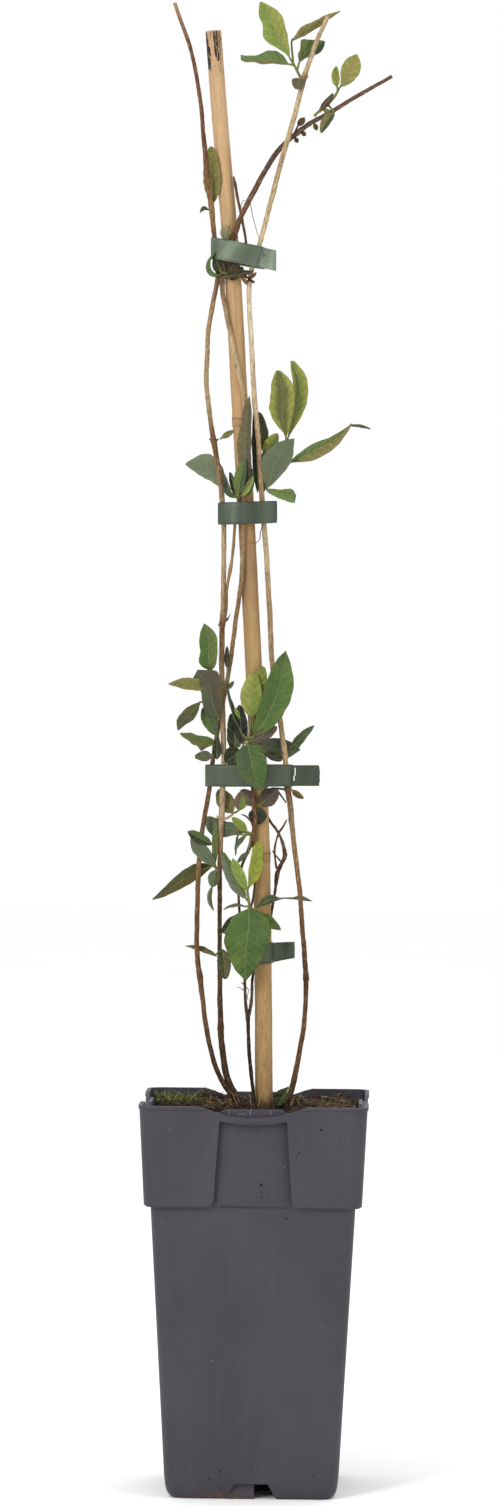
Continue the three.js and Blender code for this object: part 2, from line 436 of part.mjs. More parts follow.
// The cane and all that is tied to it are built upright, then lean about the middle of the soil.
const leaning = (piece) =>
  piece.translate([0, 0, -SOIL_LEVEL]).rotate([0, -LEAN, 0]).translate([0, 0, SOIL_LEVEL]);

function meshGeometry(points, triangles) {
  const geometry = new THREE.BufferGeometry();
  geometry.setAttribute("position", new THREE.Float32BufferAttribute(points.flatMap((p) => p.toArray()), 3));
  geometry.setIndex(triangles.flat());
  return geometry;
}

// A closed skin over rings of equal length, anticlockwise seen from the last ring, with a fan on each end.
function loft(rings) {
  const count = rings[0].length;
  const points = rings.flat();
  const triangles = [];
  for (let level = 0; level + 1 < rings.length; level++) {
    for (let i = 0; i < count; i++) {
      const a = level * count + i;
      const b = level * count + ((i + 1) % count);
      triangles.push([a, b, b + count], [a, b + count, a + count]);
    }
  }
  [0, rings.length - 1].forEach((level) => {
    const middle = rings[level].reduce((sum, p) => sum.clone().add(p)).divideScalar(count);
    const centre = points.push(middle) - 1;
    for (let i = 0; i < count; i++) {
      const a = level * count + i;
      const b = level * count + ((i + 1) % count);
      triangles.push(level ? [a, b, centre] : [b, a, centre]);
    }
  });
  return meshGeometry(points, triangles);
}

// ---- Woody stems and the cane ----

const vector = ([x, y, z]) => new THREE.Vector3(x, y, z);
const curveOf = (route) => new THREE.CatmullRomCurve3(route.map(vector), false, "catmullrom", 0.5);

function radiusAt(route, t) {
  const place = t * (route.length - 1);
  const before = Math.min(Math.floor(place), route.length - 2);
  return THREE.MathUtils.lerp(route[before][3], route[before + 1][3], place - before);
}

function stem(route, sides = 5, stepsPerSpan = 1, extraRadius = 0) {
  const curve = curveOf(route);
  const steps = Math.max(1, Math.round((route.length - 1) * stepsPerSpan));
  const rings = [];
  let across = new THREE.Vector3(0, 1, 0);
  for (let i = 0; i <= steps; i++) {
    const t = i / steps;
    const centre = curve.getPoint(t);
    const along = curve.getTangent(t);
    across = across.clone().addScaledVector(along, -across.dot(along)).normalize();
    const beside = along.clone().cross(across);
    const radius = radiusAt(route, t) + extraRadius;
    const ring = [];
    for (let side = 0; side < sides; side++) {
      const angle = (side / sides) * 2 * Math.PI;
      const point = centre.clone().addScaledVector(across, radius * Math.cos(angle));
      ring.push(point.addScaledVector(beside, radius * Math.sin(angle)));
    }
    rings.push(ring);
  }
  return solid(loft(rings));
}

const twigs = (routes) => routes.map((route) => stem(route));

// Where a route passes a height, as circles in plan.
function circlesAt(route, height) {
  const curve = curveOf(route);
  const samples = (route.length - 1) * 6;
  const circles = [];
  for (let i = 0; i < samples; i++) {
    const low = curve.getPoint(i / samples);
    const high = curve.getPoint((i + 1) / samples);
    if ((low.z - height) * (high.z - height) > 0) continue;
    circles.push({ x: low.x, y: low.y, radius: radiusAt(route, i / samples) });
  }
  return circles;
}

function makeCane() {
  const rings = CANE_RINGS.map((height) => {
    const { x, radius } = circlesAt(CANE_ROUTE, height)[0];
    const [low, high] = [height - CANE_RING_REACH, height + CANE_RING_REACH];
    const swell = [[x, 0, low, radius], [x, 0, height, radius + CANE_RING_PROUD], [x, 0, high, radius]];
    return stem(swell, CANE_SIDES);
  });
  return joined([stem(CANE_ROUTE, CANE_SIDES), ...rings]);
}

// ---- Leaves ----

// The directions across a blade and out of its upper face, for a roll about the line from base to tip.
function bladeAxes(spec, roll) {
  const along = vector(spec.tip).sub(vector(spec.base)).normalize();
  const front = new THREE.Vector3(0, -1, 0);
  const out = front.addScaledVector(along, -front.dot(along)).normalize();
  out.applyAxisAngle(along, THREE.MathUtils.degToRad(roll));
  return { across: along.clone().cross(out), out };
}

const rollAt = (spec, t) => spec.roll + (spec.twist ?? 0) * t;

// The blade's middle line arches out of its face and bends to one side.
function midrib(spec, t) {
  const { out } = bladeAxes(spec, rollAt(spec, t));
  const { across } = bladeAxes(spec, 0);
  const swell = 4 * t * (1 - t);
  return vector(spec.base)
    .lerp(vector(spec.tip), t)
    .addScaledVector(out, (spec.arch ?? 0) * swell)
    .addScaledVector(across, (spec.bend ?? 0) * swell);
}

function halfWidth(spec, t) {
  const power = Math.log(0.5) / Math.log(spec.widest ?? 0.45);
  const sharpness = THREE.MathUtils.lerp(BASE_SHARPNESS, spec.pointed ? BASE_SHARPNESS : TIP_SHARPNESS, t);
  const oval = Math.sin(Math.PI * Math.min(1, t ** power)) ** sharpness;
  const cut = t > 0.5 ? (spec.blunt ?? 0) : 0;
  return Math.max(BLADE_THICKNESS / 2, (spec.width / 2) * Math.max(oval, cut));
}

// One section of a leaf: across it from the right edge to the left on the under side, and back on the upper.
function section(columns, at) {
  const ring = [];
  for (let column = columns; column >= 0; column--) ring.push(at((2 * column) / columns - 1, -1));
  for (let column = 0; column <= columns; column++) ring.push(at((2 * column) / columns - 1, 1));
  return ring;
}

function bladeSection(spec, t, columns) {
  const { across, out } = bladeAxes(spec, rollAt(spec, t));
  const half = halfWidth(spec, t);
  const tilt = THREE.MathUtils.degToRad((spec.fold ?? 0) / 2);
  const middle = midrib(spec, t);
  return section(columns, (v, face) =>
    middle
      .clone()
      .addScaledVector(across, v * half * Math.cos(tilt))
      .addScaledVector(out, Math.abs(v) * half * Math.sin(tilt) + (face * BLADE_THICKNESS) / 2),
  );
}

function stalkSection(spec, centre, along, columns) {
  const { across, out } = bladeAxes(spec, spec.roll);
  const beside = across.addScaledVector(along, -across.dot(along)).normalize();
  const up = along.clone().cross(beside);
  const side = up.dot(out) < 0 ? -1 : 1;
  return section(columns, (v, face) =>
    centre
      .clone()
      .addScaledVector(beside, STALK_RADIUS * Math.sin(v * STALK_SECTION_ANGLE))
      .addScaledVector(up, side * face * STALK_RADIUS * Math.cos(v * STALK_SECTION_ANGLE)),
  );
}

// A leaf is one skin from its stalk's foot to its tip. Where it turns back sharply, its stalk is a rod.
function leafSolid(spec) {
  const [foot, base, tip] = [spec.stalk, spec.base, spec.tip].map(vector);
  const length = base.distanceTo(tip);
  const along = tip.sub(base).normalize();
  const rows = THREE.MathUtils.clamp(Math.round(length / ROW_LENGTH) + 1, 3, 6);
  const columns = spec.width >= BROAD_BLADE ? 4 : 2;
  const rings = [];
  for (let row = 1; row <= rows; row++) rings.push(bladeSection(spec, row / rows, columns));
  const towards = base.clone().sub(foot);
  const turn = towards.length() < STALK_RADIUS ? 0 : towards.angleTo(along);
  if (turn > SHARPEST_TURN) {
    const end = midrib(spec, STALK_IN_BLADE / length);
    const rod = stem([[...spec.stalk, STALK_RADIUS], [...end.toArray(), STALK_RADIUS]]);
    return solid(bladeSkin([bladeSection(spec, 0, columns), ...rings], columns)).add(rod);
  }
  rings.unshift(stalkSection(spec, base, along, columns));
  if (towards.length() >= STALK_RADIUS) {
    rings.unshift(stalkSection(spec, foot, towards.normalize(), columns));
  }
  return solid(bladeSkin(rings, columns));
}

// Both faces of a blade are split along the same diagonals, so that a waved blade keeps its thickness.
function bladeSkin(rings, columns) {
  const count = rings[0].length;
  const points = rings.flat();
  const triangles = [];
  for (let row = 0; row + 1 < rings.length; row++) {
    for (let i = 0; i < count; i++) {
      const a = row * count + i;
      const b = row * count + ((i + 1) % count);
      if (i <= columns) triangles.push([a, b, b + count], [a, b + count, a + count]);
      else triangles.push([a, b, a + count], [b, b + count, a + count]);
    }
  }
  [0, rings.length - 1].forEach((row) => {
    for (let column = 0; column < columns; column++) {
      const under = row * count + column;
      const over = row * count + count - 1 - column;
      const quad = [under, under + 1, over - 1, over];
      if (row) triangles.push([quad[0], quad[1], quad[2]], [quad[0], quad[2], quad[3]]);
      else triangles.push([quad[1], quad[0], quad[2]], [quad[2], quad[0], quad[3]]);
    }
  });
  return meshGeometry(points, triangles);
}

function makeSpray({ shoots = [], leaves }) {
  return joined([...shoots.map((route) => stem(route)), ...leaves.map(leafSolid)]);
}

// ---- Ties ----

// The convex outline round a set of circles, each grown by a margin, anticlockwise.
function hullOf(circles, margin) {
  const points = [];
  circles.forEach(({ x, y, radius }) => {
    for (let i = 0; i < CIRCLE_SIDES; i++) {
      const angle = (i / CIRCLE_SIDES) * 2 * Math.PI;
      const reach = (radius + margin) / Math.cos(Math.PI / CIRCLE_SIDES);
      points.push(new THREE.Vector2(x + reach * Math.cos(angle), y + reach * Math.sin(angle)));
    }
  });
  points.sort((a, b) => a.x - b.x || a.y - b.y);
  const turns = (a, b, c) => (b.x - a.x) * (c.y - a.y) - (b.y - a.y) * (c.x - a.x);
  const chain = (list) => {
    const kept = [];
    list.forEach((p) => {
      while (kept.length > 1 && turns(kept[kept.length - 2], kept[kept.length - 1], p) <= 1e-3) kept.pop();
      kept.push(p);
    });
    return kept.slice(0, -1);
  };
  return [...chain(points), ...chain([...points].reverse())];
}

// A plan outline raised to a band between its lower and upper edge, which fall to the right.
function bandPrism(outline, { level, height, fall }) {
  const raised = (p, rise) => new THREE.Vector3(p.x, p.y, level + rise - fall * p.x);
  const edge = (side) => outline.map((p) => raised(p, (side * height) / 2));
  return solid(loft([edge(-1), edge(1)]));
}

function tailOutline(run) {
  const points = run.map(([x, y]) => new THREE.Vector2(x, y));
  const half = BAND_THICKNESS * 0.6;
  const offset = (side) =>
    points.map((p, i) => {
      const [before, after] = [points[Math.max(i - 1, 0)], points[Math.min(i + 1, points.length - 1)]];
      const along = after.clone().sub(before).normalize();
      return new THREE.Vector2(p.x - along.y * half * side, p.y + along.x * half * side);
    });
  return [...offset(-1), ...offset(1).reverse()];
}

function makeTie(tie, held) {
  const level = { ...tie, level: tie.level + tie.fall * held.middle };
  const heights = [-0.6, -0.2, 0.2, 0.6].map((share) => tie.level + share * tie.height);
  const circles = held.routes.flatMap((route) => heights.flatMap((height) => circlesAt(route, height)));
  const outside = bandPrism(hullOf(circles, CLEARANCE + BAND_THICKNESS), level);
  const inside = bandPrism(hullOf(circles, CLEARANCE), { ...level, height: tie.height + 2 });
  const tail = bandPrism(tailOutline(tie.tail), { ...level, height: tie.height - 0.6 });
  return outside.add(tail).subtract(inside);
}

// ---- Pot and soil ----

function squareRing(half, corner, z) {
  const ring = [];
  for (let quarter = 0; quarter < 4; quarter++) {
    const centreX = (half - corner) * [1, -1, -1, 1][quarter];
    const centreY = (half - corner) * [1, 1, -1, -1][quarter];
    for (let step = 0; step <= CORNER_STEPS; step++) {
      const angle = ((quarter + step / CORNER_STEPS) * Math.PI) / 2;
      const [x, y] = [corner * Math.cos(angle), corner * Math.sin(angle)];
      ring.push(new THREE.Vector3(centreX + x, centreY + y, z));
    }
  }
  return ring;
}

const squareLoft = (profile, inset = 0) =>
  solid(loft(profile.map(([z, half]) => squareRing(half - inset, CORNER_RADIUS - inset, z))));

// The half width of a sloping wall at a height, from its profile.
function halfAt(profile, z) {
  const above = Math.max(1, profile.findIndex(([height]) => height >= z));
  const [[z0, half0], [z1, half1]] = [profile[above - 1], profile[above]];
  return half0 + ((half1 - half0) * (z - z0)) / (z1 - z0);
}

// An outline in a side's own plane, [across, height], cut through the pot from front to back.
function throughPrism(outline, from = -70, to = 70) {
  const ring = (y) => outline.map(([x, z]) => new THREE.Vector3(x, y, z));
  return solid(loft([ring(to), ring(from)]));
}

const turned = (piece) => piece.rotate([0, 0, 90]);
const onBothPairs = (piece) => piece.add(turned(piece));
const onAllSides = (piece) => onBothPairs(piece.add(turned(turned(piece))));
const mirroredOutline = (half) => [...half, ...half.map(([x, z]) => [-x, z]).reverse()];

// Half outlines start at the foot on the right and go up and inwards, anticlockwise.
function panelOutline(grow) {
  const { topHalf, footHalf, flareHalf, flareRise } = PANEL;
  const flare = [];
  for (let i = 0; i <= 3; i++) {
    const angle = (i / 3) * (Math.PI / 2);
    flare.push([
      flareHalf - (flareHalf - footHalf) * Math.sin(angle) + grow,
      COLLAR_FOOT + flareRise * (1 - Math.cos(angle)),
    ]);
  }
  return [[flareHalf + grow, COLLAR_FOOT - 6], ...flare, [topHalf + grow, LIP.underSide]];
}

function lipCurve(side, middle, half, steps = 3) {
  const curve = [];
  for (let i = 1; i < steps; i++) {
    const share = i / steps;
    curve.push([half * (1 - share), middle + (side - middle) * (1 - share) ** 2]);
  }
  return [...curve, [0, middle]];
}

const dipEdge = [
  [DIP_HALF + 2, RIM_HEIGHT + 3],
  [DIP_HALF, RIM_HEIGHT],
  [DIP_HALF - 4, RIM_HEIGHT - 1.1],
  [PANEL_CREST_FOOT_HALF, LIP.topSide],
];

function makePot() {
  const bodyProfile = [...BODY_PROFILE, PANEL_TOP];
  const slope = (RIM_HALF - BEAD_PROUD - COLLAR_FOOT_HALF) / (RIM_HEIGHT - COLLAR_FOOT);
  const collarProfile = [
    [COLLAR_FOOT, COLLAR_FOOT_HALF - 1],
    [COLLAR_FOOT + 1, COLLAR_FOOT_HALF],
    [RIM_HEIGHT - BEAD_HEIGHT, RIM_HALF - BEAD_PROUD - slope * BEAD_HEIGHT],
    [RIM_HEIGHT - BEAD_HEIGHT + 0.4, RIM_HALF],
    [RIM_HEIGHT, RIM_HALF],
  ];
  const underLip = [...panelOutline(0), ...lipCurve(LIP.underSide, LIP.underMiddle, PANEL.topHalf)];
  const panelCut = mirroredOutline(underLip).filter(distinctFromNext);
  const lipTop = [...dipEdge, ...lipCurve(LIP.topSide, LIP.topMiddle, PANEL_CREST_FOOT_HALF)];
  const overLip = mirroredOutline(lipTop).filter(distinctFromNext).reverse();
  const crest = [...dipEdge, [PANEL_CREST_HALF, PANEL_TOP[0] + 0.05]];
  const overCrest = mirroredOutline(crest).reverse();
  const collar = squareLoft(collarProfile)
    .subtract(onBothPairs(throughPrism(panelCut)))
    .subtract(onBothPairs(throughPrism(overLip)));
  const body = squareLoft(bodyProfile).subtract(onBothPairs(throughPrism(overCrest)));
  const recess = squareLoft([[-1, RECESS_HALF], [RECESS_TOP, RECESS_HALF]]);
  const notch = throughPrism([
    [NOTCH.footHalf + 1, -1],
    [NOTCH.topHalf, NOTCH.height],
    [-NOTCH.topHalf, NOTCH.height],
    [-NOTCH.footHalf - 1, -1],
  ]);
  const drains = joined(
    [0, 1, 2, 3].map((quarter) => {
      const drain = new THREE.CylinderGeometry(DRAIN_RADIUS, DRAIN_RADIUS, DRAIN_DEPTH, 8);
      const angle = ((quarter + 0.5) * Math.PI) / 2;
      const reach = DRAIN_OFFSET * Math.SQRT2;
      drain.rotateX(Math.PI / 2);
      drain.translate(reach * Math.cos(angle), reach * Math.sin(angle), FLOOR_TOP);
      return solid(drain);
    }),
  );
  return collar
    .add(body)
    .subtract(potInside(0))
    .subtract(recess)
    .subtract(onBothPairs(notch))
    .subtract(drains)
    .add(onAllSides(footBar()))
    .add(centrePad());
}

// Two outlines that meet on the middle line share a point there, which is kept once.
const distinctFromNext = (point, i, all) => {
  const next = all[(i + 1) % all.length];
  return Math.hypot(point[0] - next[0], point[1] - next[1]) > 1e-6;
};

function footBar() {
  const { from, to, outer, inner } = FOOT_BAR;
  const bar = new THREE.BoxGeometry(to - from, outer - inner, RECESS_TOP + 1);
  bar.translate((from + to) / 2, -(outer + inner) / 2, (RECESS_TOP + 1) / 2);
  return solid(bar);
}

function centrePad() {
  const pad = new THREE.CylinderGeometry(CENTRE_PAD_RADIUS, CENTRE_PAD_RADIUS, RECESS_TOP + 1, 16);
  pad.rotateX(Math.PI / 2);
  pad.translate(0, 0, (RECESS_TOP + 1) / 2);
  return solid(pad);
}

// The room inside the pot, made smaller by a gap: the body's room, and the hollows behind the proud corners.
function potInside(gap) {
  const bodyProfile = [...BODY_PROFILE, PANEL_TOP];
  const inset = POT_WALL + gap;
  const floor = FLOOR_TOP + gap;
  const topHalf = halfAt(bodyProfile, PANEL_TOP[0]);
  const room = squareLoft(
    [
      [floor, halfAt(bodyProfile, floor)],
      ...BODY_PROFILE.slice(-2),
      [PANEL_TOP[0], topHalf],
      [RIM_HEIGHT + 4, topHalf + 0.3],
    ],
    inset,
  );
  const slope = (RIM_HALF - BEAD_PROUD - COLLAR_FOOT_HALF) / (RIM_HEIGHT - COLLAR_FOOT);
  const cornerRoom = squareLoft(
    [
      [COLLAR_FOOT + inset, COLLAR_FOOT_HALF],
      [RIM_HEIGHT + 4, COLLAR_FOOT_HALF + slope * (RIM_HEIGHT + 4 - COLLAR_FOOT)],
    ],
    inset,
  );
  const behindPanel = mirroredOutline([...panelOutline(inset), [PANEL.topHalf + inset, RIM_HEIGHT + 6]]);
  return room.add(cornerRoom.subtract(onBothPairs(throughPrism(behindPanel))));
}

// A seeded draw between 0 and 1.
function makeDraw(seed) {
  let state = seed;
  return () => {
    state = (state * 1664525 + 1013904223) % 4294967296;
    return state / 4294967296;
  };
}

function soilSurface() {
  const draw = makeDraw(7);
  const clods = Array.from({ length: CLOD_COUNT }, () => ({
    x: (draw() - 0.5) * CLOD_FIELD,
    y: (draw() - 0.5) * CLOD_FIELD,
    spread: THREE.MathUtils.lerp(...CLOD_SPREAD, draw()),
    rise: THREE.MathUtils.lerp(...CLOD_RISE, draw()),
  }));
  return (x, y) => {
    const lumps = clods.map((clod) => {
      const distance = Math.hypot(x - clod.x, y - clod.y);
      return clod.rise * Math.exp(-((distance / clod.spread) ** 2));
    });
    const rise = lumps.reduce((sum, lump) => sum + lump);
    return SOIL_LEVEL - SOIL_DIP + Math.min(SOIL_MOST_RISE, rise);
  };
}

// A block with the bumpy soil surface on top, as wide as the pot.
function soilBlock() {
  const height = soilSurface();
  const half = RIM_HALF + 2;
  const side = SOIL_CELLS + 1;
  const points = [];
  const triangles = [];
  const place = (i) => -half + (2 * half * i) / SOIL_CELLS;
  for (let row = 0; row < side; row++) {
    for (let column = 0; column < side; column++) {
      points.push(new THREE.Vector3(place(column), place(row), height(place(column), place(row))));
    }
  }
  const at = (row, column) => row * side + column;
  for (let row = 0; row < SOIL_CELLS; row++) {
    for (let column = 0; column < SOIL_CELLS; column++) {
      const [a, b] = [at(row, column), at(row, column + 1)];
      const [c, d] = [at(row + 1, column + 1), at(row + 1, column)];
      triangles.push([a, b, c], [a, c, d]);
    }
  }
  const rim = [];
  for (let i = 0; i < SOIL_CELLS; i++) rim.push(at(0, i));
  for (let i = 0; i < SOIL_CELLS; i++) rim.push(at(i, SOIL_CELLS));
  for (let i = SOIL_CELLS; i > 0; i--) rim.push(at(SOIL_CELLS, i));
  for (let i = SOIL_CELLS; i > 0; i--) rim.push(at(i, 0));
  const foot = rim.map((top) => points.push(points[top].clone().setZ(0)) - 1);
  const centre = points.push(new THREE.Vector3()) - 1;
  rim.forEach((top, i) => {
    const next = (i + 1) % rim.length;
    triangles.push([foot[i], foot[next], rim[next]], [foot[i], rim[next], top]);
    triangles.push([foot[next], foot[i], centre]);
  });
  return solid(meshGeometry(points, triangles));
}

function makeSoil() {
  const buried = (route, depth) => {
    const [first, second, third] = route;
    const foot = [first[0], first[1], depth - CLEARANCE, first[3]];
    return stem([foot, second, third], 9, 2, CLEARANCE * 1.4);
  };
  const holes = [
    buried(CANE_ROUTE, CANE_FOOT),
    ...[OUTER_STEM, INNER_STEM, MIDDLE_STEM, RIGHT_STEM].map((route) => buried(route, ROOT_DEPTH)),
  ];
  return potInside(CLEARANCE).intersect(soilBlock()).subtract(leaning(joined(holes)));
}

// ---- The whole plant ----

const plant = new THREE.Group();

function place(name, shape, colour, roughness = 0.7) {
  const made = shape.getMesh();
  const geometry = new THREE.BufferGeometry();
  const positions = new Float32Array(made.numVert * 3);
  for (let i = 0; i < made.numVert; i++) {
    positions.set(made.vertProperties.subarray(i * made.numProp, i * made.numProp + 3), i * 3);
  }
  geometry.setAttribute("position", new THREE.BufferAttribute(positions, 3));
  geometry.setIndex(new THREE.BufferAttribute(new Uint32Array(made.triVerts), 1));
  geometry.computeVertexNormals();
  const material = new THREE.MeshStandardMaterial({ color: colour, roughness, metalness: 0 });
  const mesh = new THREE.Mesh(geometry, material);
  mesh.name = name;
  plant.add(mesh);
}

place("pot", makePot(), "#545258", 0.55);
place("soil", makeSoil(), "#3a2c22", 0.95);
place("bamboo_cane", leaning(makeCane()), "#b3945f", 0.6);
const leftStems = joined([stem(OUTER_STEM), stem(INNER_STEM), ...twigs(LEFT_TWIGS)]);
place("left_stems", leaning(leftStems), "#7d6246", 0.8);
const middleStem = joined([stem(MIDDLE_STEM), ...twigs(MIDDLE_TWIGS)]);
place("middle_stem", leaning(middleStem), "#5f4334", 0.8);
const rightStem = joined([stem(RIGHT_STEM), ...twigs(RIGHT_TWIGS), leafSolid(WITHERED_LEAF)]);
place("right_stem", leaning(rightStem), "#a58a62", 0.8);
Object.entries(SPRAYS).forEach(([name, spray]) => {
  place(name, leaning(makeSpray(spray)), spray.colour, 0.55);
});

const bundle = [CANE_ROUTE, OUTER_STEM, INNER_STEM, RIGHT_STEM];
const HELD = {
  tie_top: { routes: [...bundle, LEFT_TWIGS[1]], middle: -9 },
  tie_upper: { routes: [...bundle, LEFT_TWIGS[0]], middle: -6 },
  tie_lower: { routes: [...bundle, MIDDLE_STEM], middle: -4 },
  tie_bottom: { routes: [CANE_ROUTE, MIDDLE_STEM, MIDDLE_TWIGS[0]], middle: 0 },
};
Object.entries(TIES).forEach(([name, tie]) => {
  place(name, leaning(makeTie(tie, HELD[name])), "#6b7a66", 0.6);
});

export default plant;
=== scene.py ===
import json
import math
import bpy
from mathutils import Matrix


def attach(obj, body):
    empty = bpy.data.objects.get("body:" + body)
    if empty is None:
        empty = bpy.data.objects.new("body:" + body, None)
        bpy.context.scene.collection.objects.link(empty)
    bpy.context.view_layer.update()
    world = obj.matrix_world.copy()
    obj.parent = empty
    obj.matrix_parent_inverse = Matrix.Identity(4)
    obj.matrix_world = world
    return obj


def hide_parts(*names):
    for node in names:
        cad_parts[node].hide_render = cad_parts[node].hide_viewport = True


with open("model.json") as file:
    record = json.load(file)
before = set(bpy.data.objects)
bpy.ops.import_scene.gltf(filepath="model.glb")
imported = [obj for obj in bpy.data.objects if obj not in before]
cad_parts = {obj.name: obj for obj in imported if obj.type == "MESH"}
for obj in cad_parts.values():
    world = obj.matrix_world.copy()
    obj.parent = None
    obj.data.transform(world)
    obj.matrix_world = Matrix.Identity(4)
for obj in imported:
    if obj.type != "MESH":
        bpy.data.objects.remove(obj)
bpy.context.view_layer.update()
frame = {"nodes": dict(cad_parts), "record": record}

from types import SimpleNamespace

import bpy
import numpy as np
from mathutils import Matrix, Vector

# A young honeysuckle vine in a square nursery pot, tied to a bamboo cane. The pieces are worked out in
# millimetres, upright, as the solids are, and then lean to the left about the middle of the soil.

MM = 0.001
SOIL_LEVEL = 201
LEAN = math.radians(0.45)
TURN = 2 * math.pi
TIE_CLEARANCE = 0.35
TIE_STEP = 0.55  # between the rings of a tie's strip
TIE_ROWS = 9  # of points on each face of a tie's strip
BLADE_HALF = 0.2  # half the thickness of a blade, at its middle
RIB = 0.3  # how far a midrib stands out below
HAIRS = 26  # on each green shoot
CHIPS, STRAWS = 720, 640  # that lie all over the soil
SOIL_REACH = 52  # how far from the middle they lie
CLODS = 46  # of peat, drawn by the same rule as the solid's
PANEL_FOOT, PANEL_BROW = 155.5, 199  # of the pot's recessed panels
POT_LEDGE = 154  # where the pot's collar begins

# ---- Tones of the leaves, stems and litter, as sRGB ----

TONES = {
    "light": "899d49", "lime": "9ba04f", "yellow": "969947", "chartreuse": "98a132", "cream": "7b7743",
    "fresh": "6e8749", "leafy": "526f2e", "rich": "4b682e", "green": "66763d",
    # dark and black are near-black greens: painted shade, for leaves that fill places where the plant is in
    # deep shade.
    "deep": "4a5f3b", "dark": "333824", "black": "242323", "dusk": "5b634c", "olive": "847d49",
    "olive_light": "839238", "khaki": "888048", "straw": "a39656", "moss": "535733", "umber": "6a6142",
    "russet": "6a5f31", "brown": "553c2b", "rust": "86623f", "grey": "707a60", "ash": "5f5945",
    "sage": "9d997c", "plum": "5f5249", "mauve": "786952", "sprout": "818445", "fern": "686c38",
    "dew": "828e70", "humus": "38291e", "walnut": "5b412c", "chestnut": "7c573b", "hazel": "98744b",
    "tan": "b0926c", "buff": "caac80", "bone": "dfc49b", "ivory": "f2dfbc", "russet_bark": "7c543d",
    "plum_bark": "6f564b", "loam": "6a5030", "oak": "a98660", "honey": "bf9d68", "corn": "cda870",
    "wheat": "cfa878", "blond": "dcb688",
}


def tone(name):
    """The paint for a named tone, or one given as six hex digits, under the studio's bright light."""
    digits = TONES.get(name, name)
    channels = np.array([int(digits[i : i + 2], 16) for i in (0, 2, 4)]) / 255
    linear = np.where(channels < 0.04045, channels / 12.92, ((channels + 0.055) / 1.055) ** 2.4)
    return 0.6 * np.maximum(linear - 0.016, 0.1 * linear)


# ---- Routes of the cane and the stems: (x, y, z, radius), from the foot up ----

CANE_ROUTE = [
    (4.2, 0, 89, 4.8), (4.2, 0, 202, 4.75), (4, 0, 259, 4.6), (3.2, 0, 322.5, 4.6), (1.6, 0, 378, 4.55),
    (-1.6, 0, 444.5, 4.45), (-5.4, 0, 521.5, 4.4), (-8.6, 0, 577, 4.4), (-12.7, 0, 650, 4.3),
    (-18.6, 0, 720, 4.25), (-22.5, 0, 771.5, 4.2),
]
OUTER_STEM = [
    (-8.9, -3, 182, 1.7), (-10, -3, 202, 1.8), (-14.2, -3.5, 210.5, 1.5), (-18.2, -4, 216.5, 1.35),
    (-22.6, -5, 228, 1.3), (-26.3, -6, 245.5, 1.3), (-28.1, -6, 260.5, 1.3), (-29.5, -6.5, 271.5, 1.5),
    (-31.1, -6.5, 286.5, 1.3), (-30.7, -6.5, 312.5, 1.3), (-30, -6, 332, 1.3), (-28.5, -5, 347.5, 1.25),
    (-26.4, -3.5, 360, 1.25), (-24.3, -2, 372.5, 1.25), (-22.8, -1, 386, 1.2), (-20.7, 1, 399.5, 1.2),
    (-18.1, 2.5, 413.5, 1.2), (-15.4, 2.5, 427.5, 1.2), (-13, 1, 442, 1.2), (-10.6, -1.5, 460.5, 1.2),
    (-8.9, -4, 471, 1.2), (-7.5, -5.5, 481.5, 1.2), (-7, -6.3, 492, 1.2), (-6.5, -6.2, 508, 1.1),
    (-5.9, -6, 545, 1.1), (-5.7, -6, 574, 1.1), (-7.8, -6.2, 586, 1.15), (-9.9, -6.3, 595, 1.2),
    (-12, -6.2, 605.5, 1.2), (-14.7, -5.5, 618, 1.2), (-16.8, -4, 629.5, 1.3), (-17.9, -3.5, 638.5, 1.3),
    (-16.8, -5, 648, 1.3), (-14.1, -6.3, 656, 1.3), (-10.9, -6.6, 663.5, 1.35), (-7.8, -6.5, 673, 1.4),
    (-5.1, -6, 678.5, 1.4), (0.7, -5, 689.5, 1.4), (7, -3.5, 701, 1.4), (13.3, -2, 710, 1.35),
    (21.2, -1.5, 717, 1.3), (29.2, -1.5, 723, 1.25), (39.8, -2, 728.5, 1.2), (50.4, -3, 735, 1.1),
    (72, -4.5, 747, 0.95),
]
INNER_STEM = [
    (-9, -2, 182, 1.8), (-9, -2, 203, 2), (-12.7, -1.5, 211.5, 1.9), (-16, -1, 220.5, 1.7),
    (-18.3, -0.5, 238, 1.65), (-19, 0, 259, 1.4), (-19.2, 0, 285.5, 1.2), (-19.1, -1.5, 312, 1.2),
    (-19, -3, 331.5, 1.3), (-18.2, -3, 355, 1.5), (-17.5, -3, 370.5, 1.45), (-16.9, -3, 386, 1.4),
    (-17.4, -2.5, 407.5, 1.45), (-18, -2, 439, 1.4), (-17.7, -2, 458, 1.5), (-17.2, -2, 471, 1.35),
    (-16.9, -2.5, 492, 1.3), (-16.9, -3, 510.5, 1.3), (-17.9, -3.5, 525.5, 1.35),
    (-19.5, -3.5, 539.5, 1.35), (-22.2, -3, 554.5, 1.5), (-23.2, -2.5, 561, 1.3), (-25.4, -1.5, 577, 1.3),
    (-26.2, -1, 587.5, 1.3), (-25.7, -1, 601, 1.25), (-25.1, -1, 614, 1.25), (-23.3, -1, 624.5, 1.25),
    (-21.2, -1, 635, 1.25), (-20.1, -1, 643, 1.25), (-20.6, -1.5, 652, 1.25), (-21.9, -2.5, 663, 1.2),
    (-22.4, -3, 668, 1.35), (-23.2, -4.5, 677.5, 1.5), (-24.7, -6, 687.5, 1.6), (-25.8, -6.5, 698.5, 1.6),
    (-27.3, -6.5, 714, 1.2), (-28.9, -6.5, 732.5, 1.1), (-31, -7, 746, 1.05), (-34.2, -7.5, 761.5, 1),
    (-39.5, -8, 776.5, 1), (-42.6, -8.5, 785.5, 0.95),
]
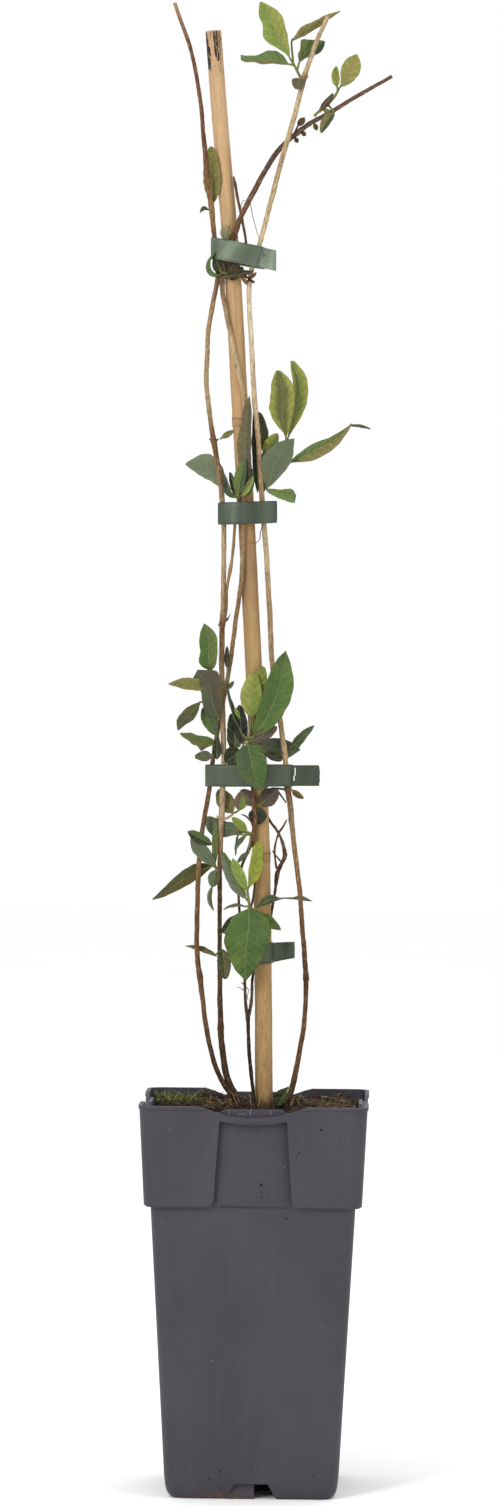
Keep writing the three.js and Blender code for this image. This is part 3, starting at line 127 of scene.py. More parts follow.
MIDDLE_STEM = [
    (-0.9, -6.5, 182, 1), (-0.9, -6.5, 205, 1.05), (-1.7, -6.3, 214.5, 1), (-3, -6, 227, 1.05),
    (-3.8, -6, 238, 0.95), (-4.1, -6, 249, 1.1), (-5.1, -6.5, 256, 0.8), (-5.5, -6.5, 264.5, 0.8),
    (-6.2, -6.5, 283, 0.75), (-7.8, -6.5, 299, 0.75), (-8.9, -6.5, 312.5, 0.75), (-8.7, -6.5, 320, 0.75),
    (-7.5, -6.5, 329.5, 0.75), (-5.1, -6.8, 335.5, 0.8), (-2.5, -7.2, 341.5, 1.1), (-0.7, -7.5, 349, 1.3),
    (-0.3, -8, 357.5, 0.9), (-1.1, -8, 365, 0.85), (-1.7, -7.6, 371.5, 0.85), (-2.5, -7, 378.5, 0.85),
    (-3, -7, 386.5, 0.85), (-4.1, -7, 395.5, 1),
]
RIGHT_STEM = [
    (17.3, -3, 182, 1.6), (17.5, -3, 204, 1.75), (18.9, -3, 211.5, 1.65), (20.4, -2.5, 216.5, 1.5),
    (23, -2, 230.5, 1.35), (25.6, -2, 245.5, 1.3), (26.5, -2, 260, 1.2), (26.7, -2, 270, 1.45),
    (25.6, -2.5, 286, 1.25), (24.4, -2.5, 301, 1.25), (23.4, -2.5, 316.5, 1.3), (21.5, -2, 331.5, 1.3),
    (19.6, -1.8, 347.5, 1.4), (18.3, -2, 362.5, 1.5), (17, -2.2, 370.5, 1.7), (16, -3, 384.5, 1.4),
    (14.4, -3.2, 397, 1.4), (13, -2.5, 406.5, 1.4), (10.6, -1.5, 423.5, 1.4), (8.5, -1.2, 439, 1.4),
    (7.5, -1.5, 463, 1.4), (6.7, -2, 476, 1.4), (5.4, -3.5, 500, 1.4), (4.3, -4.5, 510.5, 1.4),
    (3.3, -5.5, 525.5, 1.4), (2.5, -6.8, 539.5, 1.4), (1.5, -7.6, 555.5, 1.35), (0.2, -7.6, 568.5, 1.35),
    (-0.9, -7, 582, 1.35), (-2.3, -4.5, 608.5, 1.3), (-3.6, -2.5, 630, 1.3), (-3.1, -2, 641.5, 1.3),
    (-0.5, -3, 652, 1.3), (2.7, -4, 660.5, 1.3), (5.4, -5, 671, 1.3), (9.1, -6, 685, 1.35),
    (13.9, -6.5, 703.5, 1.35), (18.7, -6.5, 719.5, 1.35), (22.9, -6.5, 735, 1.35), (25.6, -6.5, 746.5, 1.4),
    (27.9, -6.5, 753, 1.3), (32.6, -6.5, 766.5, 1.2), (38.3, -6.5, 778.5, 1.1),
]
LEFT_TWIGS = [
    [(-17.4, -2.2, 459.5, 1), (-15.8, -2.5, 464.5, 0.8), (-15.3, -3, 476, 0.8), (-13.4, -3.5, 487, 1),
     (-12.6, -4, 492, 0.8), (-11.8, -4.2, 500, 0.8), (-11, -4.6, 510.5, 0.8), (-9.7, -5, 521.5, 0.8)],
    [(-4.7, -4.5, 656, 0.7), (-5.7, -5, 664, 0.7), (-7.5, -5.8, 673.5, 0.8), (-9.4, -4.8, 682.5, 0.8),
     (-10.8, -4, 690, 0.8), (-11.6, -3.6, 694.5, 0.7)],
    [(-18, -3, 354.5, 0.8), (-15.2, -4, 355.5, 0.7), (-12.8, -5, 357, 0.6), (-11.6, -5.5, 358, 0.6)],
    [(-18.6, -3, 355, 0.9), (-21, -3, 356.5, 0.6)],
    [(-18, -2, 458, 0.9), (-20, -2.2, 457.5, 0.5)],
    [(-17.4, -2, 459, 0.9), (-14.4, -1.5, 461, 0.5)],
    [(-22.4, -3, 554.8, 0.9), (-24.6, -3.2, 556, 0.5)],
    [(-22, -3, 554.8, 0.9), (-19.6, -3.2, 556, 0.5)],
]
MIDDLE_TWIGS = [
    [(-4.1, -6, 249, 1), (-2.8, -5.8, 254.5, 0.9), (-2.1, -5, 260.5, 0.8), (-1.9, -2.8, 265.5, 0.8),
     (-1.8, 0, 270.5, 0.8), (-0.6, 3, 277.5, 0.75), (1.5, 5.8, 286, 0.75), (4.6, 6.3, 294.5, 0.75),
     (7.3, 5.4, 301, 0.75), (9.5, 3.5, 312.5, 0.75), (10.5, 2.7, 320, 0.9), (11.6, 2.5, 326.5, 1.3),
     (13.2, 2.5, 330.5, 1.1), (15.3, 2.5, 335, 1.15), (14.8, 2.5, 340, 0.9), (13.2, 2.5, 344.5, 0.8),
     (10.5, 3, 349.5, 0.75), (7.9, 4.5, 353, 0.7), (5.7, 6, 357, 0.7), (3, 7, 363, 0.6)],
    [(10.8, 2.5, 328.5, 0.6), (10, 2.5, 335.5, 0.55), (10.2, 2.5, 341, 0.55), (11.9, 2.5, 347, 0.6),
     (14.3, 2, 350.5, 0.5), (16.4, 1.2, 354.5, 0.45)],
    [(13.7, 2.4, 331.6, 0.5), (10.5, 1.6, 335.5, 0.45), (8.7, 1, 338, 0.4)],
    [(15, 2.5, 335.5, 0.9), (16.8, 2.5, 336, 0.4)],
    [(-1.4, -7.4, 343, 0.8), (-0.5, -7.2, 336, 0.6), (-0.4, -7.2, 327, 0.55), (-0.6, -7.2, 319, 0.55),
     (-1.3, -7.3, 313.5, 0.55), (-2.2, -7.5, 308.5, 0.6)],
    [(-0.8, -7.5, 350.5, 0.7), (-2.2, -7.4, 353.5, 0.5), (-5, -7.2, 356.5, 0.45), (-7.6, -6.8, 357.5, 0.4)],
    [(-0.6, -8, 362, 0.7), (0.4, -8.2, 362.6, 0.4)],
    [(-5.5, -6.5, 267, 0.6), (-7.6, -6.8, 268.6, 0.35)],
]
RIGHT_TWIGS = [
    [(16.4, -2.4, 370.5, 0.6), (13, -2.4, 371, 0.5), (10.8, -2.4, 371.5, 0.5)],
    [(11, -2.4, 371.4, 0.5), (13, -2.4, 368, 0.5), (16.2, -2, 363.5, 0.5)],
    [(25.6, -6.5, 746.5, 0.9), (28, -6.8, 746.8, 0.4)],
]
# Buds on the dark shoot and at the nodes: (foot, base, tip, width, tone).
BUDS = [
    ((20.4, -1.6, 717.5), (22.4, -1.8, 721.6), (25.9, -2, 725.6), 3.3, "735940"),
    ((24.3, -1.7, 719), (24.5, -2.2, 718), (26.4, -2.6, 716), 2.3, "5a4030"),
    ((20.6, -1.6, 716), (20.9, -1.9, 715), (22.2, -2.2, 712.3), 2.3, "553b2c"),
    ((30.6, -1.6, 723.4), (30.9, -2.2, 722.4), (32.4, -2.6, 718.8), 2.5, "76683c"),
    ((-3, -2.6, 641.5), (-2.4, -4, 641), (0.4, -5, 643.8), 1.7, "84573a"),
    ((-3.4, -2.6, 641.5), (-4.4, -4.2, 641), (-7.2, -5.2, 642.8), 1.8, "7a4f34"),
    ((-3.2, -2.6, 641), (-2.9, -4, 639.8), (-0.4, -4.8, 638.4), 1.5, "6a4630"),
    ((-3.4, -2.6, 640.5), (-3.8, -4.4, 639.6), (-5.6, -5.4, 638.2), 1.4, "57382a"),
]
# Fine threads and tendrils at the stems, each with its tone.
THREADS = [
    ([(-5.1, -7, 679.5, 0.3), (-3.2, -7.3, 681, 0.22), (-1.6, -7, 674, 0.2), (0.2, -6, 667, 0.18),
      (1.8, -4.6, 661.5, 0.15)], "3f332d"),
    ([(-7, -7, 674, 0.3), (-7.6, -7.4, 678, 0.25), (-7, -7.6, 681, 0.22), (-5.6, -7.6, 681.6, 0.2),
      (-4.6, -7.6, 680, 0.15)], "c2b394"),
    ([(4.4, -5.6, 511.5, 0.35), (2.6, -6.4, 507, 0.3), (2.2, -6.8, 503, 0.25), (-0.5, -6.9, 500.9, 0.2),
      (-4.4, -7.2, 501.6, 0.16)], "7b5a42"),
    ([(-5.6, -6.9, 264, 0.3), (-8, -7.2, 265.6, 0.22), (-10.4, -7.4, 266.4, 0.14)], "7d6a58"),
    ([(-5.5, -7, 266.5, 0.3), (-3.7, -7.6, 264.6, 0.24), (-4.2, -7.8, 261.8, 0.2), (-3.9, -7.6, 259.4, 0.18),
      (-2.7, -7.4, 259, 0.12)], "5d5038"),
    ([(-17.4, -2.4, 459.5, 0.5), (-14.6, -2.8, 461.6, 0.4), (-13.2, -3.2, 464, 0.2)], "5c4133"),
]

# The shoots that carry each tuft's leaves, as routes.
SHOOTS = {
    "top_leaves": [
        [(23.5, -6.8, 746.5, 0.75), (21.5, -8.2, 750.5, 0.7), (20, -9, 753.5, 0.6)],
    ],
    "side_shoot_leaves": [
        [(30.8, -1.6, 726.5, 0.7), (33.5, -1.8, 729, 0.7), (37, -2, 731.5, 0.65), (41.5, -2.2, 736.5, 0.75),
         (43.5, -2.5, 740, 0.7)],
    ],
    "upper_right_leaves": [
        [(5.5, -5.2, 529.5, 0.8), (8, -4.5, 535.5, 0.75), (11.5, -3.8, 544, 0.7), (16, -3.5, 555, 0.6)],
        [(5.6, -4.6, 531, 0.5), (5.4, -2.6, 538, 0.5), (4.6, -1.2, 544.5, 0.5)],
    ],
    "upper_left_leaves": [
        [(-9.5, -5.2, 523.5, 0.8), (-8.5, -7.2, 527, 0.8)],
    ],
    "left_leaves": [
        [(-19.5, -3.4, 395, 0.7), (-20.5, -5, 403, 0.75), (-21.5, -6, 415.5, 0.7), (-23, -6.3, 430.5, 0.6)],
    ],
    "centre_leaves": [
        [(-4, -7.2, 396.8, 0.9), (-4, -8.6, 398.5, 0.9)],
    ],
    "purple_leaves": [
        [(1.2, -8.2, 362.6, 0.5), (1.8, -6.6, 362, 0.6)],
    ],
    "inner_leaves": [
        [(-1.5, -9.3, 348, 0.5), (-2, -9.2, 347.5, 0.6)],
    ],
    "bottom_leaves": [
        [(-2.5, -8.6, 308.5, 0.6), (-3, -9.6, 309.5, 0.8), (-4, -10.4, 315, 0.75), (-4.5, -10.8, 319.5, 0.6)],
    ],
}


def leaf(tones, stalk, base, tip, width, roll, fold, arch=0, **form):
    """One leaf: its tones, its stalk's foot, its blade's ends and width, and its roll, fold and arch.

    Roll 0 turns the upper face to the front, 180 the underside, 90 the edge.
    """
    plain = {"bend": 0, "twist": 0, "widest": 0.45, "blunt": 0, "pointed": False, "edges": None}
    places = {"tones": tones, "stalk": stalk, "base": base, "tip": tip}
    shape = {"width": width, "roll": roll, "fold": fold, "arch": arch}
    return SimpleNamespace(**{**places, **shape, **plain, **form})


# Shares of a blade's length, from its stalk to its tip, at which its edges are given.
STATIONS = (0.1, 0.25, 0.45, 0.65, 0.85, 1)
# The leaves of each tuft. A leaf's two tones are of its left or upper half and of the other, on the face
# that looks to the front, and a third one is of its margin. Where the two halves differ, this is mostly
# painted light and shade of the folded halves, partly their own colour. Its edges are the reach of these two
# halves, in mm, from the line between the blade's ends.
LEAVES = {
    "top_leaves": [
        leaf("light lime", (20, -9, 753), (18, -9.5, 756.5), (2.7, -12, 785.4), 15.5, -12, 30, widest=0.58,
             edges=((1.2, 3.8, 7, 4.6, 3.4, 0.6), (1.9, 3.7, 5.8, 6.8, 4.2, 0.6))),
        leaf("fresh olive", (20, -9, 752.5), (17.5, -9.5, 753), (-7.5, -14, 755), 10.5, 34, 20, -2, twist=24,
             edges=((4.3, 7.4, 6.6, 4.8, 3.1, 2.2), (0.2, 0.2, 0.2, 0.2, 0.7, 0.2))),
        leaf("straw olive", (20, -8.5, 753), (19, -5, 765.5), (44.5, 0, 782), 6, 38, 40, 1,
             edges=((2.4, 4.8, 3.7, 3.5, 1.8, 0.2), (0.2, 0.2, 0.4, 0.2, 0.2, 0.2))),
        leaf("green deep", (22, -8, 750), (23, -3.8, 754.5), (36.5, -0.6, 766), 10.5, 10, 30, 1,
             edges=((3.7, 5.2, 8.7, 5.6, 2.9, 0.2), (0.2, 0.5, 2.1, 2.7, 2, 0.2))),
        leaf("umber umber", (23.3, -7.2, 747), (23.5, -10, 745.5), (21.5, -11, 739.5), 7.5, 0, 20, 2),
    ],
    "side_shoot_leaves": [
        leaf("straw straw yellow", (43.5, -2.4, 740), (44.5, -3, 741.5), (53.5, -6, 758.5), 11.5, 10, 25, 2,
             edges=((0.8, 2.3, 4.3, 4.5, 3.2, 0.2), (2.1, 3.9, 5.1, 5.2, 3.5, 0.2))),
        leaf("yellow yellow", (43.5, -2.4, 740), (43, -3, 741.5), (42.5, -4, 752.5), 5, -20, 40, 1),
        leaf("plum brown", (34, -2, 728.5), (34, -3, 730), (41, -6, 738), 4, 20, 40, 1.5),
        leaf("olive olive", (35, -2.4, 729.5), (35.5, -3, 729.5), (39.5, -4.5, 728.5), 2.5, 0, 20),
        leaf("olive moss", (38, -2.6, 732.5), (41.5, -4.6, 728), (34.5, -6, 717), 6, 20, 40, 2),
    ],
    "shoot_leaf": [
        leaf("lime khaki", (-22.5, -2.3, 678), (-22.5, -2.6, 680.5), (-23.5, -4.2, 710.5), 10, -6, 35),
        leaf("moss moss", (-22.5, -2.3, 678.5), (-24.5, -2.2, 677), (-29.5, -3, 675.5), 3, 30, 30, bend=1.5),
    ],
    "tucked_leaves": [
        leaf("sage sage", (-15.9, -5.2, 658.5), (-15.9, -5.2, 659), (-17.3, -5.9, 668), 4, -10, 30,
             widest=0.6),
        leaf("sage olive", (-15.5, -5.6, 658.5), (-15.5, -5.8, 659.5), (-14, -7, 668.5), 3.5, 20, 40,
             widest=0.6),
    ],
    "curled_leaf": [],
    "dry_leaves": [
        leaf("dark brown", (-15.6, -6, 642), (-16.6, -6, 641.5), (-1.1, -5.6, 644.5), 7, 10, 60, 1.5,
             edges=((1.1, 1.9, 1.5, 1.9, 0.9, 0.2), (0.9, 1.1, 1.9, 1.3, 1.2, 0.2))),
        leaf("brown olive", (-15.1, -6, 642), (-14.1, -6, 643), (-19.6, -5.8, 646.5), 5, 20, 50),
        leaf("rust rust", (-8.6, -6.4, 642), (-7.6, -6.4, 642), (-4.1, -7, 637), 2.5, 0, 50),
        leaf("humus brown", (-16, -5.8, 641.8), (-16, -5.6, 641), (-9.5, -5.2, 652), 8, 4, 24, 0.4),
        leaf("brown humus", (-15.6, -5.9, 641.5), (-14, -6, 640), (-6.5, -5.2, 646.5), 6, -6, 30, 0.4),
        leaf("walnut brown", (-16.5, -5.4, 641), (-17.4, -5.4, 640), (-14.5, -5.6, 650), 5, 10, 40, 0.3),
    ],
    "upper_right_leaves": [
        leaf("fern fern yellow", (16, -3.5, 554), (16, -3.8, 556.5), (12, -6.5, 592), 15.5, -5, 35, 2,
             edges=((1.4, 4.8, 6.6, 5.2, 3.9, 1.3), (2, 4.1, 6.4, 7.7, 5.8, 1.1))),
        leaf("fern olive_light yellow", (16, -3.3, 554), (17, -2.6, 556.5), (18.5, 0.5, 597.5), 11, 18, 30, 2,
             bend=3.5, edges=((1.3, 2.4, 2.8, 2.3, 2, 0.2), (0.9, 2.8, 4.9, 5.6, 4.9, 1.8))),
        leaf("grey grey", (6.5, -5.4, 531.5), (6, -6.4, 530), (20.5, -9.4, 556), 16.5, 178, 12, -3.6,
             edges=((3.7, 6.9, 9.8, 8.8, 5.4, 0.2), (1.7, 3, 4.3, 4.7, 2.3, 0.2))),
        leaf("fresh khaki", (11.7, -3.9, 544), (18, -4.5, 543.5), (51, -6, 564), 8.5, 12, 50, 3, pointed=True,
             edges=((1.5, 2.5, 2.5, 0.8, 0.2, 0.2), (1.8, 4.5, 5.5, 5.2, 2.8, 0.2))),
        leaf("ash ash", (50, -6, 563.5), (49.5, -6, 563), (61, -7, 561), 2.5, 40, 60, bend=-1),
        leaf("fresh fresh", (6, -5.6, 529.5), (5.5, -7, 529), (21.5, -8, 526), 9.5, 15, 35, widest=0.6,
             blunt=0.5, edges=((1.1, 1.4, 1.8, 2.6, 3.2, 0.2), (1.2, 2.1, 2.9, 3.5, 3.8, 3.9))),
        leaf("dark moss", (4.5, -1.2, 544), (4, -0.8, 549.5), (1.5, 0.6, 570.5), 7, 20, 30, 1),
        leaf("yellow green", (4.5, -1.2, 544), (5, -1.5, 546.5), (11.5, -2.5, 559), 8, -10, 40, 1),
        leaf("deep grey", (5.7, -5.3, 530.5), (5.9, -6, 531), (6.8, -6.8, 539), 3, 0, 40),
        leaf("dark black", (5.5, -3.3, 535.5), (3.2, -1.8, 526), (2.6, -1.2, 549), 6, 8, 30, 0.6),
        leaf("dark moss", (5.4, -2.8, 536.5), (1, -3.8, 527.5), (-0.3, -5, 574), 5.5, 12, 30, 0.5),
    ],
    "upper_left_leaves": [
        leaf("umber ash", (-8.4, -7.3, 526.8), (-5.4, -9, 527.5), (-3.1, -8.4, 578.5), 9, -28, 18,
             edges=((1.1, 2.7, 5.4, 4, 2.9, 0.2), (1.8, 2.3, 2.3, 2.1, 1.5, 0.2))),
        leaf("dew dew", (-9, -6, 525.5), (-12.5, -1.4, 526.3), (-37.5, 5.5, 543), 16.5, 172, 25,
             edges=((2.6, 5.9, 9.6, 11.7, 9.5, 1.6), (0.2, 0.2, 0.2, 0.9, 0.6, 0.2))),
        leaf("green deep", (-9, -7, 526), (-9.2, -8.8, 526.5), (-5.8, -10, 545), 7, -15, 40, 1),
        leaf("cream light", (-8.5, -7.2, 526), (-7, -9, 525.5), (-1, -10.5, 536), 4, 10, 40),
        leaf("deep deep", (-9.5, -5.8, 525.5), (-11, -5.2, 525), (-17, -5.8, 529), 3, 0, 30),
        leaf("dark deep", (-9.2, -7, 526), (-10.6, -7.4, 525.5), (-13.6, -7, 538.5), 4, 15, 40, 0.6),
        leaf("dark deep", (-8.6, -7.2, 526.5), (-4.8, -8, 525), (-2.6, -8.2, 541), 6, 12, 35, 0.8),
    ],
    "bud_leaf": [
        leaf("olive olive", (-18.8, -3.4, 556.2), (-18, -3.6, 556.5), (-11.5, -4, 560.5), 3.5, 0, 40),
    ],
    "left_leaves": [
        leaf("leafy green", (-23, -6.3, 430), (-23.5, -6.6, 433.5), (-27, -8.5, 458.5), 10.5, -10, 30, 2,
             edges=((3.8, 5.1, 3.7, 3.4, 2.3, 0.2), (3.1, 4.6, 5.7, 6.4, 4.3, 0.2))),
        leaf("dusk ash", (-21, -5.4, 406.5), (-18.5, -6.6, 407.5), (-30.5, -10, 434), 17, 176, 25, -3,
             edges=((2.9, 5.6, 4.6, 3, 5, 0.2), (2, 4.6, 7, 9, 8.4, 0.2))),
        leaf("olive khaki", (-23, -6.5, 426.5), (-26, -8.5, 425), (-46, -11, 426.5), 7.5, 20, 45, 2,
             edges=((3, 3.2, 3.1, 2.7, 1.5, 0.2), (2.8, 3.3, 3.5, 2.9, 1.5, 0.2))),
        leaf("moss moss", (-22, -6.4, 415.5), (-29, -8.4, 417), (-41, -11, 402), 8, 20, 35, 2,
             edges=((1.1, 2.2, 3.1, 3.4, 2.6, 0.2), (1.2, 3, 4.1, 3.2, 1.6, 0.2))),
        leaf("leafy deep", (-22, -5.6, 413), (-28, -5.4, 414), (-21, -6.6, 399.5), 7.5, 0, 30),
        leaf("green cream", (-19.5, -4.6, 396), (-22, -5.5, 394.5), (-40, -9, 400.5), 8, 140, 40, -3.5,
             edges=((2.8, 3.5, 3.7, 3.5, 2.1, 0.2), (2, 4.4, 2.5, 1.4, 0.8, 0.2))),
        leaf("dusk dusk", (-19.5, -4.4, 395), (-23, -5, 388.5), (-32, -7, 388), 6, 10, 30, blunt=0.4),
        leaf("dark dark", (-19.5, -4.2, 395), (-20.5, -4.6, 386.5), (-20.5, -5.6, 398), 5.5, 0, 40),
    ],
    "centre_leaves": [
        leaf("rich leafy", (-3.5, -9, 398), (-1.5, -9.8, 398.5), (16, -9.5, 444), 19, 2, 22, 1.5, bend=3,
             pointed=True, edges=((2.4, 4.8, 6.2, 6.4, 4.6, 0.2), (4.5, 7.3, 8.5, 8.2, 4.7, 0.2))),
        leaf("lime olive_light", (-3.5, -8.8, 398), (-2.5, -7.8, 409), (-1, -8.4, 432.5), 12, -8, 25, 1.5),
        leaf("olive_light olive_light", (-2, -7.6, 402), (0, -6.8, 417.5), (4, -7, 436), 8, 10, 25, 1),
        leaf("deep rich", (-4, -9.2, 397), (-4, -11, 395), (3, -13, 370), 16.5, -6, 25, 2.5,
             edges=((7.1, 8.5, 9.4, 8.8, 4.4, 0.2), (4.6, 6.4, 6.8, 5.7, 3.1, 0.2))),
        leaf("grey deep", (-4.5, -8.6, 397.5), (-6, -8, 399), (-15.5, -5.2, 427.5), 5.5, 70, 40, bend=-2),
        leaf("dark dark", (-15, -5.1, 426.5), (-15, -4, 434.5), (-15, -4.4, 446.5), 3.5, -30, 40),
        leaf("black black", (-4.5, -7.6, 397), (-6.5, -6.6, 394.5), (-8.5, -5.6, 415.5), 8, -10, 30, 1),
        leaf("light light", (-8, -6.5, 408), (-8.5, -7, 408.5), (-11, -8, 414), 2.5, 0, 40),
        leaf("plum plum", (-3.5, -9, 397), (-2, -9, 396.5), (11.5, -8, 404), 7, 10, 40, 1),
        leaf("dusk dusk", (-3.5, -8.6, 396.5), (2, -6.8, 393.5), (23.5, 3.4, 391.5), 9, -4, 25, -1.6,
             edges=((3.7, 4.7, 5.3, 4.8, 2.8, 0.2), (2.9, 4.8, 6.2, 5.5, 3, 0.2))),
        leaf("moss deep", (17.5, 1.7, 392.1), (18.5, 1.2, 393.5), (31, -1.5, 404.5), 6, 15, 40, 1.5,
             edges=((1.2, 2.3, 2.7, 2.6, 1.7, 0.2), (3.3, 2.8, 2.1, 1.4, 0.9, 0.2))),
        leaf("dark dark", (-0.5, -7.4, 394.5), (5, -5.8, 390.5), (14, -6, 386), 5, 0, 40),
        leaf("deep deep", (-15.2, -5.4, 423), (-14.6, -5.6, 423.8), (-11.5, -6.2, 428), 2.5, 0, 40),
        leaf("dark deep", (-8, -7, 394), (-11.5, -6.6, 390.5), (-12.6, -6.2, 411), 9.5, 12, 34, bend=1),
        leaf("dark dark", (-5.5, -7.6, 396), (-8, -7, 391.5), (-16, -6, 385), 10.5, 0, 30),
    ],
    "purple_leaves": [
        leaf("plum plum", (1.7, -6.7, 362), (2.2, -6.6, 362.5), (12, -6.6, 371), 9.5, 170, 20),
        leaf("dark dark", (1.7, -6.7, 362), (1.2, -6, 361.2), (1, -5.7, 352), 10, 0, 12),
        leaf("plum mauve", (1.4, -6.9, 362), (0.4, -6.8, 362.4), (-8, -7.2, 370.4), 8, 176, 20),
    ],
    "node_leaves": [
        leaf("olive khaki", (-10.5, -5.8, 358.7), (-12.5, -1.6, 358), (-20, 3.8, 370.5), 9.5, 0, 12),
        leaf("mauve light", (-10.5, -5.8, 358.7), (-9, -6, 359.5), (-6, -6, 370.5), 7.5, 180, 25, -1),
    ],
    "inner_leaves": [
        leaf("grey grey", (-2, -9, 347.5), (-6, -4.6, 348), (-28, 3.4, 355.5), 11, 176, 20, -1,
             edges=((1.2, 2.8, 2.4, 2.2, 2, 0.2), (2.3, 4, 6.7, 7.7, 4.9, 0.2))),
        leaf("olive_light olive_light", (-2, -9, 347.5), (-4.5, -8.6, 348.5), (-12.5, -8.6, 356), 5, 10, 40,
             1),
        leaf("deep dusk", (-2.5, -9, 347), (-5, -8.8, 346.5), (-11, -10, 339), 3, 20, 40, 1),
        leaf("ash ash", (-3.5, -8.9, 347), (-9, -8.6, 348), (-10.5, -8, 335.5), 2.5, 50, 40),
        leaf("dusk dusk", (-2.5, -9.2, 346.5), (-3.5, -8.4, 337.5), (-9.5, -9, 332), 3, 20, 30, 1),
    ],
    "low_left_leaves": [
        leaf("grey grey", (-21, -3.5, 329), (-21.5, -6, 330), (-34, -7.4, 347), 10.5, 176, 8, -1.5,
             edges=((1.8, 3.3, 4.4, 4.6, 3, 0.2), (1.8, 2.6, 3.2, 2.8, 1.6, 0.2))),
        leaf("rich dark", (-22.5, -5.2, 336), (-22.5, -6.2, 341.5), (-36, -8.5, 348.5), 7.5, 10, 35, 1.5,
             edges=((0.7, 1.8, 2.2, 2.3, 1.9, 0.2), (1.4, 2.4, 3, 3.2, 2.1, 0.2))),
        leaf("green green", (-21, -3.5, 329), (-21.5, -4.6, 331), (-21.5, -6, 353.5), 3.5, 0, 30),
        leaf("moss russet", (-21, -3.5, 329), (-23, -2.8, 330), (-55, 0.5, 312), 12, 190, 15, -1, pointed=True,
             edges=((3.9, 5.7, 5.4, 3.6, 1.7, 0.2), (1.2, 2.4, 2.5, 2.4, 1.7, 0.2))),
        leaf("grey moss", (-21, -3.5, 329), (-21, -4.6, 328), (-23, -6.5, 319), 7, 0, 30),
        leaf("grey deep", (-22, -5.9, 321), (-22.5, -6, 320), (-22, -7, 306.5), 3, 20, 40, bend=2),
    ],
    "bottom_leaves": [
        leaf("chartreuse chartreuse", (-4, -10.6, 318), (-3.5, -10.6, 319), (2, -10.2, 344), 8.5, 12, 25, 1,
             edges=((1, 2, 2.5, 2.7, 2.4, 0.2), (2.1, 4.1, 4.7, 3.8, 2.5, 0.2))),
        leaf("light light", (-4, -10.6, 316), (-4.5, -11, 317.5), (-12, -13, 334.5), 7, 10, 40, 2,
             edges=((1.5, 2.6, 3.3, 3.6, 2.6, 0.2), (1, 1.8, 2.2, 2.2, 1.5, 0.2))),
        leaf("grey green", (-3.5, -10, 311.5), (-5, -9.8, 313), (-17.5, -5.4, 337.5), 9, -28, 35, 1),
        leaf("leafy rich", (-3, -9.8, 309.5), (-3.5, -12, 308), (-5, -16, 270), 23.5, 6, 16, 3.5, widest=0.38,
             pointed=True, edges=((6.9, 10.2, 11.5, 9.6, 5.5, 0.2), (9.4, 12.4, 12.3, 9.3, 5, 0.2))),
        leaf("rich leafy", (-2.5, -9.2, 308.5), (0, -9.2, 305), (13.5, -9, 296.5), 7.5, -14, 30, 1,
             edges=((1.3, 2.5, 3.3, 2.5, 1.6, 0.2), (0.8, 1.8, 2.5, 2.6, 1.6, 0.2))),
        leaf("dark rich", (-3, -9.8, 308.5), (-7, -9.6, 303.5), (-17.5, -10.5, 295), 8, 0, 20),
        leaf("rich moss", (-2.5, -9.2, 308.5), (0, -8.8, 307), (30, 5.2, 311), 7.5, 8, 25, bend=-4, twist=150,
             edges=((4.4, 4.6, 1.5, 0.6, 2.1, 0.2), (0.2, 0.7, 1, 1.1, 0.9, 0.2))),
        leaf("dusk dusk", (-3, -9.8, 309), (-5.5, -9.6, 309), (-17, -8, 307), 3, 55, 30, bend=1.2),
    ],
    "low_pair": [
        leaf("moss umber", (-19, -1.9, 285), (-17.5, -3.2, 286), (-16, -4.2, 270), 7.5, -5, 25, 1),
        leaf("russet olive", (-19, -1.9, 285), (-20.5, -2.4, 282), (-37.5, -1.6, 287.5), 4, 40, 40, 1.5,
             pointed=True),
    ],
}
ROLLED_LEAF = leaf("dark dark", (-17.6, -5.4, 642.4), (-18.4, -5.2, 643), (-21.6, -4.4, 652), 6, 0, 20)
FALLEN_LEAVES = [
    leaf("rust brown", (17.6, -3, 370.5), (19.2, -3.6, 370.3), (25.5, -5, 366), 4, 20, 50),
    leaf("dark deep", (18.6, -4.2, 212), (17.5, -5, 213.5), (11.5, -5.6, 203.5), 8.5, 28, 70, widest=0.62,
         blunt=0.3),
]

# What the cane and each stem look like on their way up: (height, tone).
CANE_TONES = [
    (89, "loam"), (198, "loam"), (206, "honey"), (220, "corn"), (300, "honey"), (444, "honey"),
    (487, "oak"), (521, "honey"), (574, "wheat"), (650, "wheat"), (723, "blond"),
]
OUTER_TONES = [
    (182, "humus"), (228, "walnut"), (260, "chestnut"), (310, "chestnut"), (332, "hazel"),
    (360, "chestnut"), (413, "tan"), (471, "hazel"), (492, "tan"), (545, "hazel"), (578, "buff"),
    (600, "bone"), (629, "tan"), (648, "walnut"), (678, "chestnut"), (701, "plum_bark"), (720, "plum_bark"),
    (747, "chestnut"),
]
INNER_TONES = [
    (182, "humus"), (238, "walnut"), (318, "walnut"), (334, "hazel"), (370, "bone"), (407, "buff"),
    (440, "tan"), (458, "chestnut"), (466, "tan"), (492, "buff"), (525, "tan"), (554, "chestnut"),
    (577, "buff"), (624, "tan"), (643, "hazel"), (680, "hazel"), (705, "russet_bark"), (765, "russet_bark"),
    (785, "tan"),
]
MIDDLE_TONES = [
    (182, "humus"), (245, "humus"), (262, "walnut"), (312, "walnut"), (345, "chestnut"), (395, "walnut"),
]
RIGHT_TONES = [
    (182, "humus"), (230, "chestnut"), (262, "chestnut"), (268, "walnut"), (300, "chestnut"),
    (325, "hazel"), (350, "tan"), (370, "chestnut"), (378, "buff"), (463, "tan"), (500, "bone"),
    (525, "tan"), (555, "buff"), (582, "bone"), (625, "ivory"), (671, "bone"), (703, "buff"), (738, "bone"),
    (745, "hazel"), (750, "bone"), (778, "bone"),
]
CANE_RINGS = [566, 336]
